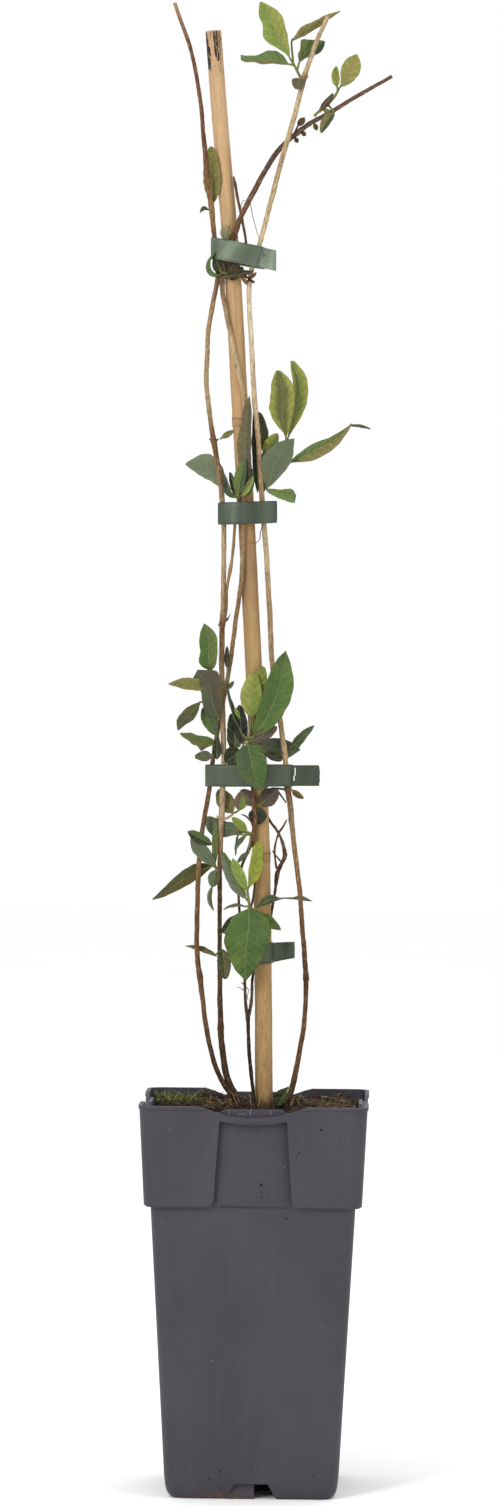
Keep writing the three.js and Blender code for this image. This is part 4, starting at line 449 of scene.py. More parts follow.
# Strokes on the cane: (x from its middle, lowest, highest, half width, strength). The first list holds
# weathered black ones.
SOOT = [
    (-3.6, 750, 768, 1.0, 1.0), (-2.3, 752, 763, 0.5, 0.8), (0.1, 757, 772, 0.5, 0.9),
    (1.7, 754, 772, 0.6, 1.0), (3.1, 757, 772, 0.5, 0.8), (2.4, 746, 755, 0.4, 0.7),
    (-0.8, 768, 772, 1.0, 0.7), (-4, 739, 752, 0.5, 0.5), (-2.9, 749, 764, 0.7, 1.0),
    (0.8, 753, 771, 0.6, 0.9), (2.6, 753, 770, 0.5, 0.8), (-3.9, 764, 772, 0.9, 0.9),
    (-1.6, 764, 772, 0.5, 0.8), (1.4, 741, 752, 0.3, 0.6), (-2.1, 742, 751, 0.3, 0.6),
]
# Brown strokes: partly stains, partly painted shade along the cane's edges.
BROWN_STAINS_AND_PAINTED_SHADE = [
    (3.4, 655, 712, 1.1, 0.8), (-4, 460, 560, 0.8, 0.9), (-4, 570, 640, 0.6, 0.6),
    (3.9, 430, 520, 0.8, 0.5), (0.6, 600, 645, 0.9, 0.35), (-1.5, 440, 500, 0.8, 0.35),
    (3.2, 290, 330, 1.2, 0.7), (-3.6, 215, 268, 0.8, 0.6),
]

# ---- Skins: what a piece's faces are gathered in ----


def unit(v):
    return v / np.maximum(np.linalg.norm(v, axis=-1, keepdims=True), 1e-9)


def grid(*values):
    """Values side by side on a last axis, each spread over the shape of them all."""
    return np.stack(np.broadcast_arrays(*values), axis=-1)


def round_angles(count):
    """The angles of even steps round a circle."""
    return np.arange(count) / count * TURN


def one_of(draw, names):
    return names[int(draw.integers(0, len(names)))]


def leaning(points):
    """Tilts points to the left about the middle of the soil."""
    x, y, z = points[:, 0], points[:, 1], points[:, 2] - SOIL_LEVEL
    cos, sin = math.cos(LEAN), math.sin(LEAN)
    return np.stack([x * cos - z * sin, y, SOIL_LEVEL + z * cos + x * sin], axis=1)


class Skin:
    """Points and faces of one piece, with the tint, grain and blade place of every point."""

    def __init__(self):
        self.points, self.faces, self.finish_of = [], [], []
        self.marks = {"tint": [], "grain": [], "blade": []}
        self.count = 0

    def add(self, points, faces, tint, finish=0, grain=None, blade=(0, 0, 0)):
        """Adds faces over points. Their grain is their own place, unless another is given."""
        points = np.asarray(points, float).reshape(-1, 3)
        grain = points if grain is None else grain
        self.points.append(points)
        for key, value in (("tint", tint), ("grain", grain), ("blade", blade)):
            value = np.asarray(value, float).reshape(-1, 3)
            self.marks[key].append(np.broadcast_to(value, points.shape))
        self.faces += [tuple(int(i) + self.count for i in face) for face in faces]
        self.finish_of += [finish] * len(faces)
        self.count += len(points)

    def loft(self, rings, tint, finish=0, loop=False, skip=(), **marks):
        """A skin over rings, which close on themselves. A loop's last ring meets its first."""
        rows, columns = rings.shape[:2]
        row = np.arange(rows if loop else rows - 1)[:, None] * columns
        column = np.arange(columns)
        after, beside = (row + columns) % (rows * columns), (column + 1) % columns
        faces = grid(row + column, row + beside, after + beside, after + column).reshape(-1, 4)
        faces = [face for i, face in enumerate(faces.tolist()) if i not in skip]
        if not loop:
            faces.append(tuple(range(columns - 1, -1, -1)))
            faces.append(tuple(range((rows - 1) * columns, rows * columns)))
        self.add(rings, faces, tint, finish, **marks)

    def piece(self, name, finishes, nodes, lean):
        """Makes the object, which rides with the pot and stands for the named solids."""
        points = np.vstack(self.points)
        mesh = bpy.data.meshes.new(name)
        mesh.from_pydata(((leaning(points) if lean else points) * MM).tolist(), [], self.faces)
        for key, marks in self.marks.items():
            values, kind, channel = np.vstack(marks), "FLOAT_VECTOR", "vector"
            if key == "tint":
                values, kind, channel = np.hstack([values, np.ones((len(values), 1))]), "FLOAT_COLOR", "color"
            layer = mesh.attributes.new(key, kind, "POINT")
            layer.data.foreach_set(channel, values.astype(np.float32).ravel())
        for finish in finishes:
            mesh.materials.append(finish)
        mesh.polygons.foreach_set("material_index", self.finish_of)
        mesh.polygons.foreach_set("use_smooth", [True] * len(self.faces))
        mesh.update()
        made = bpy.data.objects.new(name, mesh)
        bpy.context.scene.collection.objects.link(made)
        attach(made, "root")
        if nodes:
            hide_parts(*nodes)


# ---- Curves and stems ----


def spline(route, pitch):
    """Rows along a smooth curve through a route's rows, about a pitch apart."""
    rows = np.array(route, float)
    around = np.vstack([2 * rows[0] - rows[1], rows, 2 * rows[-1] - rows[-2]])
    made = []
    for i in range(len(rows) - 1):
        a, b, c, d = around[i : i + 4]
        steps = max(2, math.ceil(np.linalg.norm((c - b)[:3]) / pitch))
        t = np.arange(steps)[:, None] / steps
        bent, curled = 2 * a - 5 * b + 4 * c - d, 3 * b - a - 3 * c + d
        span = 0.5 * (2 * b + (c - a) * t + bent * t**2 + curled * t**3)
        if rows.shape[1] > 3:
            span[:, 3] = b[3] + (c[3] - b[3]) * t[:, 0]
        made.append(span)
    return np.vstack([*made, rows[-1:]])


def run_of(line):
    """How far along a line each of its points is."""
    return np.concatenate([[0], np.cumsum(np.linalg.norm(np.diff(line, axis=0), axis=1))])


def frames(centres):
    """Two directions across a curve at each of its points, which don't twist round it."""
    along = unit(np.gradient(centres, axis=0))
    across = np.zeros_like(along)
    last = np.array([0.0, 1.0, 0.0]) if abs(along[0][1]) < 0.9 else np.array([1.0, 0.0, 0.0])
    for i, direction in enumerate(along):
        last = unit(last - direction * (last @ direction))
        across[i] = last
    return across, np.cross(along, across)


def round_rings(centres, reach, across, beside, angle):
    """Rings round a curve, one point at each angle, as far out as the reach says."""
    cos, sin = np.cos(angle)[:, None], np.sin(angle)[:, None]
    return centres[:, None] + reach[..., None] * (cos * across[:, None] + sin * beside[:, None])


def strip_section(middle, low, high, out):
    """Rings round a thin strip: half its width on one face and on the other, and half its thickness."""
    return np.stack([middle - low - out, middle + low - out, middle + high + out, middle - high + out], axis=1)


def tones_at(tones, heights):
    """The tint at each height, from a table of (height, tone), or one tone all the way up."""
    if isinstance(tones, str):
        tones = [(0, tones)]
    table = np.array([tone(name) for _, name in tones])
    levels = [height for height, _ in tones]
    return np.stack([np.interp(heights, levels, table[:, i]) for i in range(3)], axis=1)


def steadied(rows, reach):
    """Rows of a curve, evened out over a reach of rows. The ends stay."""
    kernel = np.exp(-np.linspace(-1.7, 1.7, 2 * reach + 1) ** 2)
    start, end = 2 * rows[0] - rows[reach:0:-1], 2 * rows[-1] - rows[-2 : -reach - 2 : -1]
    long = np.vstack([start, rows, end])
    return np.stack([np.convolve(column, kernel / kernel.sum(), "valid") for column in long.T], axis=1)


def tube(
    skin, route, tones, sides, rough, knots=(), finish=0, pitch=1.2, seed=0, taper=0.0, steady=0, mark=None,
):
    """A round stem along a route, uneven by a share of its radius, with a raised ring at each knot."""
    rows = spline(route, pitch)
    if steady:
        rows = steadied(rows, min(steady, len(rows) - 2))
    centres, radii = rows[:, :3], rows[:, 3].copy()
    draw = np.random.default_rng(seed)
    run = run_of(centres)
    if taper:
        radii *= 1 - taper * np.clip((run - run[-1] + 3) / 3, 0, 1) ** 2
    for height, proud in knots:
        past = run - run[np.argmin(abs(centres[:, 2] - height))]
        radii += proud * (np.exp(-((past / 0.8) ** 2)) + 0.5 * np.exp(-(((past - 1.6) / 1.6) ** 2)))
    across, beside = frames(centres)
    angle, down = round_angles(sides), run[:, None]
    relief = np.zeros((len(rows), sides))
    for lobes in range(1, 5):
        pace, phase = draw.uniform(0.04, 0.5), draw.uniform(0, 6.28)
        relief += np.sin(lobes * angle + pace * down + phase) / lobes
        relief += 0.5 * np.sin(draw.uniform(0.3, 1.4) * down + draw.uniform(0, 6.28))
    rings = round_rings(centres, radii[:, None] * (1 + rough * relief), across, beside, angle)
    grain = grid(radii[:, None] * np.cos(angle), radii[:, None] * np.sin(angle), down + 37.0 * seed)
    tint = np.repeat(tones_at(tones, centres[:, 2]), sides, axis=0)
    blade = mark(angle + 0 * down, centres[:, 2:]) if mark else (0, 0, 0)
    skin.loft(rings, tint, finish, grain=grain, blade=blade)
    return centres, radii, across, beside


def peelings(skin, made, tones, count, seed):
    """Thin strips of bark that lift off a stem at one end."""
    centres, radii, across, beside = made
    draw = np.random.default_rng(seed)
    for _ in range(count):
        start = int(draw.integers(2, len(centres) - 12))
        length = int(draw.integers(4, 12))
        way = slice(start, min(start + length, len(centres)))
        angle = draw.uniform(0, TURN) + np.linspace(0, draw.uniform(-0.5, 0.5), len(centres[way]))
        t = np.linspace(0, 1, len(angle))
        if draw.random() < 0.5:
            t = t[::-1]
        lift = radii[way] * 0.98 + 0.04 + draw.uniform(0.05, 0.4) * t**3
        cos, sin = np.cos(angle)[:, None], np.sin(angle)[:, None]
        out, side = cos * across[way] + sin * beside[way], -sin * across[way] + cos * beside[way]
        half = side * (draw.uniform(0.16, 0.34) * (1 - 0.8 * t**2)[:, None])
        middle = centres[way] + out * lift[:, None]
        tint = tones_at(tones, middle[:, 2]) * draw.uniform(0.75, 1.35)
        skin.loft(strip_section(middle, half, half * 0.8, out * 0.05), np.repeat(tint, 4, axis=0))


def add_twigs(skin, twigs, tones, sides, rough, seed):
    """Side twigs with tapered ends. The first two wear the first tones, the others the second."""
    for i, route in enumerate(twigs):
        tube(skin, route, tones[i > 1], sides, rough, seed=seed + i, pitch=0.9, taper=0.3)


def add_bud(skin, foot, base, tip, width, tint, seed):
    """A bud on a short stalk: an ovoid of overlapping dry scales with a sharp end."""
    foot, base, tip = np.array(foot, float), np.array(base, float), np.array(tip, float)
    tube(skin, [(*foot, 0.55), (*(0.5 * foot + 0.5 * base), 0.5), (*base, 0.5)], tint, 7, 0.05)
    t = np.linspace(0, 1, 15)
    middle = base + (tip - base) * t[:, None]
    angle = round_angles(12)
    steps = 1 + 0.22 * ((3.2 * t[:, None] + 0.35 * np.sin(3 * angle + seed)) % 1)
    reach = width / 2 * (np.sin(math.pi * np.clip(t * 0.86 + 0.1, 0, 1)) ** 0.8)[:, None] * steps
    shade = np.repeat(0.75 + 0.5 * ((3.2 * t) % 1), 12)[:, None]
    skin.loft(round_rings(middle, reach, *frames(middle), angle), tone(tint) * shade)


def strokes_at(angle, height):
    """Where the strokes lie on the cane's front: the black ones, then the brown ones, which are partly painted
    shade.
    """
    over = -4.2 * np.sin(angle)
    found = []
    for strokes, soft in ((SOOT, 2), (BROWN_STAINS_AND_PAINTED_SHADE, 14)):
        total = 0 * over
        for x, low, high, half, strength in strokes:
            ends = np.clip((height - low) / soft, 0, 1) * np.clip((high + 1 - height) / soft, 0, 1)
            total = np.maximum(total, strength * np.exp(-(((over - x) / half) ** 2)) * ends)
        found.append(total * (np.cos(angle) < 0.3))
    return grid(*found, 0)


def add_cane(skin):
    ridges = ((0.4, 0.3), (-1.2, 0.26), (-3.2, 0.2))
    knots = [(level + up, proud) for level in CANE_RINGS for up, proud in ridges]
    tube(skin, CANE_ROUTE, CANE_TONES, 44, 0.006, knots, pitch=1.0, seed=2, mark=strokes_at)


def add_left_stems(skin):
    knots = [(271.5, 0.35), (638.5, 0.3), (717.5, 0.4)]
    outer = tube(skin, OUTER_STEM, OUTER_TONES, 12, 0.04, knots, seed=4, steady=5)
    knots = [(355, 0.35), (458.5, 0.4), (554.8, 0.35), (243, 0.3)]
    inner = tube(skin, INNER_STEM, INNER_TONES, 12, 0.045, knots, seed=6, steady=5)
    peelings(skin, outer, OUTER_TONES, 16, 8)
    peelings(skin, inner, INNER_TONES, 20, 9)
    add_twigs(skin, LEFT_TWIGS, (OUTER_TONES, INNER_TONES), 9, 0.06, 30)
    for seed, bud in enumerate(BUDS):
        add_bud(skin, *bud, seed)


def add_middle_stem(skin):
    knots = [(249, 0.25), (345, 0.35), (394, 0.3)]
    stem = tube(skin, MIDDLE_STEM, MIDDLE_TONES, 10, 0.07, knots, seed=12, steady=2)
    peelings(skin, stem, MIDDLE_TONES, 22, 10)
    add_twigs(skin, MIDDLE_TWIGS, (MIDDLE_TONES, MIDDLE_TONES), 8, 0.1, 50)


def add_right_stem(skin):
    knots = [(216, 0.2), (270, 0.4), (370.5, 0.4), (746.5, 0.35)]
    stem = tube(skin, RIGHT_STEM, RIGHT_TONES, 12, 0.035, knots, seed=14, steady=9)
    peelings(skin, stem, RIGHT_TONES, 18, 11)
    add_twigs(skin, RIGHT_TWIGS, (MIDDLE_TONES, RIGHT_TONES), 8, 0.1, 70)


def add_threads(skin):
    for route, colour in THREADS:
        tube(skin, route, colour, 6, 0.06, pitch=0.6, seed=len(route), taper=0.5)


# ---- Leaves ----


def turned(v, axis, angle):
    cos, sin = math.cos(angle), math.sin(angle)
    return v * cos + np.cross(axis, v) * sin + axis * (v @ axis) * (1 - cos)


def blade_axes(along, roll):
    """The directions across a blade and out of its upper face."""
    front = np.array([0.0, -1.0, 0.0])
    out = turned(unit(front - along * (front @ along)), along, math.radians(roll))
    return np.cross(along, out), out


def blade_shape(spec, t):
    """The middle line, the directions and the reach of both halves of a blade at each share of its length."""
    base, tip = np.array(spec.base, float), np.array(spec.tip, float)
    along = unit(tip - base)
    bow = 4 * t * (1 - t)
    pairs = [blade_axes(along, spec.roll + spec.twist * share) for share in t]
    across, out = np.array([a for a, _ in pairs]), np.array([o for _, o in pairs])
    flat = blade_axes(along, 0)[0]
    middle = base + (tip - base) * t[:, None] + out * (spec.arch * bow)[:, None]
    middle += flat * (spec.bend * bow)[:, None]
    leftward = (-across[:, 0] + across[:, 2] > 0)[:, None]
    if not spec.edges:
        power = math.log(0.5) / math.log(spec.widest)
        sharpness = 0.8 + ((0.8 if spec.pointed else 0.5) - 0.8) * t
        oval = np.sin(math.pi * np.minimum(1, t**power)) ** sharpness
        cut = np.where(t > 0.5, spec.blunt, 0)
        half = np.maximum(0.16, spec.width / 2 * np.maximum(oval, cut))
        return middle, across, out, np.stack([half, half], axis=1), leftward
    rows = spline([(0, 0.2, 0.2), *zip(STATIONS, *spec.edges)], 0.2)
    first, second = (np.interp(t, np.maximum.accumulate(rows[:, 0]), rows[:, i]) for i in (1, 2))
    shift = 0.35 * (first - second) * np.minimum(1, 4 * t) * np.minimum(1, 4 * (1 - t))
    left = -1 if -flat[0] + flat[2] < 0 else 1
    middle += flat * (left * shift)[:, None]
    seen = np.maximum(0.45, np.hypot(across[:, 0], across[:, 2])) * math.cos(math.radians(spec.fold / 2))
    halves = np.maximum(0.16, np.stack([first - shift, second + shift], axis=1) / seen[:, None])
    return middle, across, out, halves, leftward


def far_tone(near, upper_is_near):
    """The tone of the face that is turned away: dull and pale below, greener above."""
    far = np.array([0.13, 0.15, 0.095]) if upper_is_near else np.array([0.045, 0.085, 0.025])
    return near * 0.45 + far * 0.55


def blade_tint(spec, out, side, around, leftward):
    """Each half's tone on the face that looks to the front, with painted light and shade of the fold, a
    margin's over both, and a far face's.
    """
    first, second, *margin = (tone(name) for name in spec.tones.split())
    blend = np.clip(0.5 + around / 0.3, 0, 1)[None, :, None]
    near = np.where(leftward[..., None], second + (first - second) * blend, first + (second - first) * blend)
    if margin:
        near = near + (margin[0] - near) * np.clip((abs(around) - 0.34) / 0.34, 0, 1)[None, :, None]
    upper_is_near = out[len(out) // 2][1] < 0
    facing = np.where(upper_is_near, side >= 0, side <= 0)[None, :, None]
    return np.where(facing, near, far_tone(near, upper_is_near))


def add_leaf(skin, spec, seed):
    draw = np.random.default_rng(seed)
    base, tip, foot = (np.array(end, float) for end in (spec.base, spec.tip, spec.stalk))
    length = np.linalg.norm(tip - base)
    even = np.linspace(0, 1, int(np.clip(length / 0.9, 14, 50)) + 1)
    t = 0.75 * even + 0.25 * (0.5 - 0.5 * np.cos(math.pi * even))
    middle, across, out, halves, leftward = blade_shape(spec, t)
    inward = np.linspace(0, 1, (9 if spec.width > 8 else 6) + 1) ** 1.2
    inward = np.insert(inward, -1, 0.965)
    v = np.concatenate([-inward[::-1], inward[1:]])
    pace, phase = draw.uniform(1.6, 3.4, 4), draw.uniform(0, 6.28, 6)
    edge = 1 + 0.02 * np.sin(12.6 * pace[0] * t + phase[0]) + 0.012 * np.sin(41 * t + phase[1])
    halves = halves * np.where(t > 0.08, edge, 1)[:, None]
    positive, negative = np.where(leftward, halves, halves[:, ::-1]).T[..., None]
    reach = np.where(v > 0, positive, negative)
    half = halves.mean(axis=1)[:, None]
    tilt = math.radians(spec.fold / 2)
    crease = (np.sqrt(v**2 + 0.02) - math.sqrt(0.02)) / (math.sqrt(1.02) - math.sqrt(0.02))
    flat = (v * reach * math.cos(tilt))[..., None] * across[:, None]
    down = t[:, None]
    swell = np.where(v > 0, np.sin(6.28 * pace[1] * down + phase[2]), np.sin(6.28 * pace[2] * down + phase[3]))
    calm = np.minimum(1, 5 * down)
    ripple = 0.1 * half * v**2 * swell * calm
    ripple = ripple + 0.05 * half * abs(v) * np.sin(19 * down + phase[4]) * calm
    sheet = middle[:, None] + flat + (crease * reach * math.sin(tilt) + ripple)[..., None] * out[:, None]
    body = BLADE_HALF * np.minimum(1, half / 1.2) * (1 - 0.72 * v**2)
    rib = RIB * np.exp(-((v * reach / 0.4) ** 2)) * np.minimum(1, half / 1.2)
    rib = rib * (1 - 0.7 * down)
    upper = sheet + (body - 0.3 * rib)[..., None] * out[:, None]
    under = sheet - (body + rib)[..., None] * out[:, None]
    rings = np.concatenate([under[:, ::-1], upper[:, 1:-1]], axis=1)
    around = np.concatenate([v[::-1], v[1:-1]])
    wide = np.concatenate([reach[:, ::-1], reach[:, 1:-1]], axis=1)
    side = np.concatenate([-np.ones(len(v)), np.ones(len(v) - 2)])
    side[0] = side[len(v) - 1] = 0
    grain = grid(down * length, around * wide, 3.7 * seed % 97)
    tint = blade_tint(spec, out, side, around, leftward)
    skin.loft(rings, tint, grain=grain, blade=grid(down, around, side))
    towards = base - foot
    if np.linalg.norm(towards) < 0.2:
        return
    if math.acos(np.clip(unit(towards) @ unit(tip - base), -1, 1)) > 1.3:
        end = blade_shape(spec, np.array([1.2 / length]))[0][0]
        way = [(*foot, 0.55), (*((foot + end) / 2 + out[0] * 0.1), 0.5), (*end, 0.4)]
    else:
        on = blade_shape(spec, np.array([0.1, 0.3]))
        sunk = on[0] - on[2] * 0.25
        way = [(*foot, 0.62), (*base, 0.5), (*sunk[0], 0.34), (*sunk[1], 0.12)]
    tube(skin, way, "sprout", 8, 0.02, finish=1, pitch=0.9, seed=seed + 5)


def add_hairs(skin, route, seed):
    """Short fine hairs that stand off a young shoot."""
    rows = spline(route, 0.5)
    across, beside = frames(rows[:, :3])
    draw = np.random.default_rng(seed)
    for _ in range(HAIRS):
        i = int(draw.integers(0, len(rows)))
        angle = draw.uniform(0, TURN)
        out = math.cos(angle) * across[i] + math.sin(angle) * beside[i]
        side = np.cross(out, unit(draw.normal(size=3))) * 0.035
        root = rows[i, :3] + out * rows[i, 3] * 0.8
        tip = rows[i, :3] + out * (rows[i, 3] + draw.uniform(0.4, 0.9)) + draw.normal(size=3) * 0.12
        skin.add([root - side, root + side, tip], [(0, 1, 2)], tone("cream"), 1, grain=(0, 0, 0))


def add_curl(skin):
    """The leaf that is rolled up below the top tie, seen along its roll."""
    way = [
        (-20.4, 655), (-23.4, 651.4), (-24, 647.2), (-22.6, 644), (-20, 642.6), (-17.2, 643.2), (-16.4, 645.8),
        (-17.4, 648.6),
    ]
    line = spline([(x, 0, z) for x, z in way], 0.5)
    out = np.cross(unit(np.gradient(line, axis=0)), [0, 1, 0])
    t = np.linspace(0, 1, len(line))
    depth = np.linspace(0, 1, 9)
    span = 5.2 * (0.55 + 0.45 * np.sin(math.pi * np.clip(0.15 + t, 0, 1)))[:, None]
    rings = []
    for face, shares in ((1, depth), (-1, depth[::-1])):
        for share in shares:
            place = line + share * np.array([-0.46, 1, -0.24]) * span + [0, -7.2, 0]
            place = place + out * (0.3 * math.sin(share * 9) + 0.5 * share * (1 - share))
            rings.append(place + out * face * 0.24 * (0.5 if share in (0, 1) else 1))
    outside = np.array([0.0] * 9 + [1.0] * 9)
    # The roll's inside is painted dark: painted shade within the roll.
    tint = np.where(outside[:, None] > 0, tone("leafy"), tone("dark"))
    grain = grid(12 * t[:, None], np.r_[depth, depth[::-1]] * 5, 4.4)
    blade = grid(t[:, None], 0.4, 2 * outside - 1)
    skin.loft(np.stack(rings, axis=1), np.tile(tint, (len(line), 1)), grain=grain, blade=blade)
    add_leaf(skin, ROLLED_LEAF, 99)


def add_fallen_leaves(skin):
    for number, spec in enumerate(FALLEN_LEAVES):
        add_leaf(skin, spec, 71 + number)


def add_tuft(skin, name, seed):
    """One tuft: its hairy green shoots, then its leaves."""
    for i, route in enumerate(SHOOTS.get(name, ())):
        tube(skin, route, "sprout", 9, 0.03, finish=1, pitch=0.8, seed=seed + i)
        add_hairs(skin, route, seed + i)
    for i, spec in enumerate(LEAVES[name]):
        add_leaf(skin, spec, seed + 11 * i + 3)


# ---- Plastic ties ----

BUNDLE = [CANE_ROUTE, OUTER_STEM, INNER_STEM, RIGHT_STEM]
BAND = dict(
    thickness=0.55, height=11.6, fall=0, middle=0, ragged=0.12, slack=1.015, slits=(), bulge=[], narrow=0,
    rise=0, flap=None, sheen=(), hole=None,
)
# A tie's painted light strokes: (x, slant, width, how much lighter) of the painted highlights on its front,
# and of painted shade where the amount is below nought. Its slits are the steps and rows that are open in its
# free end.
TIES = {
    "tie_top": dict(
        level=654, fall=0.2, height=11.5, middle=-9, routes=[*BUNDLE, LEFT_TWIGS[1]], slack=1.03,
        tone="5f6c58", tail=[(-1, -7.2), (4, -6.6), (8, -5.6), (10.8, -4.6)], tail_tone="7b8776",
        flap=(-20, 1.4, 0.36), hole=4.6,
        sheen=((-14, 0.8, 3, 0.85), (-17.5, 0.8, 1, 0.5), (-4, 0.7, 3.5, -0.12), (9, 0.2, 1.2, 0.4)),
    ),
    "tie_upper": dict(
        level=517, fall=-0.03, middle=-6, routes=[*BUNDLE, LEFT_TWIGS[0]], slack=1.02, tone="455240",
        tail=[(4, -1), (8, -3), (11, -4)], tail_tone="2f362c", bulge=[(9.6, -2.8, 0.8)],
        sheen=((-11.5, 0.05, 1.6, 0.9), (-1.5, 0, 3, -0.3), (6, 0, 2, 0.55), (-8, 0, 0.6, -0.25)),
    ),
    "tie_lower": dict(
        level=378, routes=[*BUNDLE, MIDDLE_STEM], tone="45523c", tail=[(17.2, -3), (25, -3.6), (33.6, -2.6)],
        tail_tone="3c4534", ragged=0.5, slits=((5, (2, 3)), (6, (4, 5, 6))),
        sheen=((-25, 0, 2, 0.4), (-18.5, 0, 1, 0.35), (-9, 0.1, 5, 0.2), (30, 0.3, 1.5, 0.25)),
    ),
    "tie_bottom": dict(
        level=284, height=11, routes=[CANE_ROUTE, MIDDLE_STEM, MIDDLE_TWIGS[0]], tone="4d5a40",
        tail=[(8.8, 0.4), (14, 0.8), (20.6, -1)], tail_tone="4f5a47", narrow=0.18, rise=1.6,
        sheen=((14, 0.2, 3, 0.3),),
    ),
}


def circles_at(route, height):
    """Where a stem is cut at a height: (x, y, radius)."""
    rows = spline(route, 1.0)
    return [(a[0], a[1], a[3]) for a, b in zip(rows[:-1], rows[1:]) if (a[2] - height) * (b[2] - height) <= 0]


def hull(points):
    """The outline round points in plan."""
    points = sorted(map(tuple, points))

    def chain(run):
        kept = []
        for x, y in run:
            while len(kept) > 1:
                (ax, ay), (bx, by) = kept[-2:]
                if (bx - ax) * (y - ay) > (by - ay) * (x - ax):
                    break
                kept.pop()
            kept.append((x, y))
        return kept[:-1]

    return np.array(chain(points) + chain(points[::-1]))


def evenly(line, closed):
    """The line's points again, a tie's step apart."""
    whole = np.vstack([line, line[:1]]) if closed else line
    run = run_of(whole)
    count = max(4, round(run[-1] / TIE_STEP))
    places = np.linspace(0, run[-1], count, endpoint=not closed)
    return np.stack([np.interp(places, run, whole[:, i]) for i in range(2)], axis=1)


def outward(way):
    """The directions to the right of a way in plan."""
    way = unit(way)
    return np.stack([way[:, 1], -way[:, 0]], axis=1)


def sprung(line, circles, margin, slack):
    """A closed strip that springs out as far as its spare length lets it, and stays off what it holds."""
    girth = lambda line: np.linalg.norm(line - np.roll(line, 1, axis=0), axis=1).sum()
    longest = girth(line) * slack
    for _ in range(500):
        line = (np.roll(line, 1, axis=0) + 2 * line + np.roll(line, -1, axis=0)) / 4
        middle = line.mean(axis=0)
        line = middle + (line - middle) * longest / girth(line)
        for _ in range(2):
            for x, y, radius in circles:
                away = line - (x, y)
                far = np.linalg.norm(away, axis=1, keepdims=True)
                line = line + away / far * np.maximum(0, radius + margin - far)
    return evenly(line, True)


def strip_rings(line, tie, out, draw, closed, ragged):
    """A plastic strip on edge along a line in plan: one ring round its section at each point."""
    up = np.linspace(-0.5, 0.5, TIE_ROWS)
    height = tie.height - (0 if closed else 0.6)
    wave = 0.1 * np.sin(np.arange(len(line))[:, None] * 0.21 + draw.uniform(0, 6.28)) * (2 * up) ** 2
    rings = []
    for i, (x, y) in enumerate(line):
        share = 0 if closed else i / len(line)
        section = []
        for face in (1, -1):
            for j in range(TIE_ROWS)[::face]:
                thin = tie.thickness / 2 * (1 if 0 < j < TIE_ROWS - 1 else 0.45)
                offset = face * thin + wave[i, j]
                tall = up[j] * height * (1 - tie.narrow * share)
                z = tie.level + tall - tie.fall * (x - tie.middle) + tie.rise * share
                slip = ragged * draw.uniform(-1, 1) if i == len(line) - 1 else 0.0
                section.append((x + out[i, 0] * offset + slip, y + out[i, 1] * offset, z))
        rings.append(section)
    return np.array(rings)


def painted_light_on_tie(tie, rings, tint):
    """The plastic's tint at each point, with painted highlights and shade along its strokes and painted shade
    at its hole.
    """
    x, up = rings[..., 0], rings[..., 2] - tie.level
    light = 1 + 0 * x
    for at, slant, width, more in tie.sheen:
        light = light + more * np.exp(-(((x - at - slant * up) / width) ** 2)) * (rings[..., 1] < 0)
    # Painted shade: a dark spot where the hole in the free end is.
    if tie.hole:
        light = light * (1 - 0.75 * (np.hypot(x - tie.hole, up + 1.6) < 0.75))
    return light[..., None] * tone(tint)


def add_strip(skin, tie, line, out, draw, start, tint, closed=False, ragged=0.0, slant=0.0, skip=()):
    rings = strip_rings(line, tie, out, draw, closed, ragged)
    up = rings[..., 2] - tie.level
    if slant:
        share = np.clip(np.arange(len(line)) / (len(line) - 1), 0, 1) ** 3
        rings[..., 0] += slant * (rings[..., 2] - rings[..., 2].mean(axis=1, keepdims=True)) * share[:, None]
    run = start + np.arange(len(line)) * TIE_STEP
    skin.loft(rings, painted_light_on_tie(tie, rings, tint), loop=closed, skip=skip, grain=grid(run[:, None], up, 0))


def add_tie(skin, name, seed):
    """A strip round all that the tie holds, its pressed front flap and its free end."""
    tie = SimpleNamespace(**{**BAND, **TIES[name]})
    draw = np.random.default_rng(seed)
    levels = [tie.level + share * tie.height for share in (-0.6, -0.2, 0.2, 0.6)]
    circles = [c for route in tie.routes for level in levels for c in circles_at(route, level)] + tie.bulge
    margin = TIE_CLEARANCE + tie.thickness / 2 + 0.1
    dots = [
        (x + (r + margin) * math.cos(a), y + (r + margin) * math.sin(a))
        for x, y, r in circles for a in round_angles(40)
    ]
    line = sprung(evenly(hull(dots), True), np.array(circles), margin, tie.slack)
    out = outward(np.roll(line, -1, axis=0) - np.roll(line, 1, axis=0))
    add_strip(skin, tie, line, out, draw, 0, tie.tone, closed=True)
    if tie.flap:
        low, high, slant = tie.flap
        front = [i for i in range(len(line)) if low < line[i, 0] < high and out[i, 1] < -0.3]
        front.sort(key=lambda i: line[i, 0])
        add_strip(skin, tie, line[front] + out[front] * 1.3, out[front], draw, 40, tie.tone, slant=slant)
    tail = evenly(spline([(x, y, 0) for x, y in tie.tail], 0.5)[:, :2], False)
    out = outward(np.gradient(tail, axis=0))
    columns = 2 * TIE_ROWS
    skip = {at * columns + j for at, rows in tie.slits for row in rows for j in (row, columns - 2 - row)}
    add_strip(skin, tie, tail, out, draw, 90, tie.tail_tone, ragged=tie.ragged, skip=skip)


# ---- Soil ----

PEAT_TONES = ("2a201a", "3b2d22", "46352a", "33271f", "54402f", "2e241d", "604a36", "3f3026")
STRAW_TONES = ("6f543c", "8b7050", "4a3729", "a98f6b", "5a4433", "3b2b20", "745a41")
FIBRE_TONES = ("a18a69", "bfa985", "735b43", "5d4836", "8d7455")
GRASS_TONES = ("7f8f3b", "55682b", "938f42", "3e4f27", "a09d4c", "353f22")
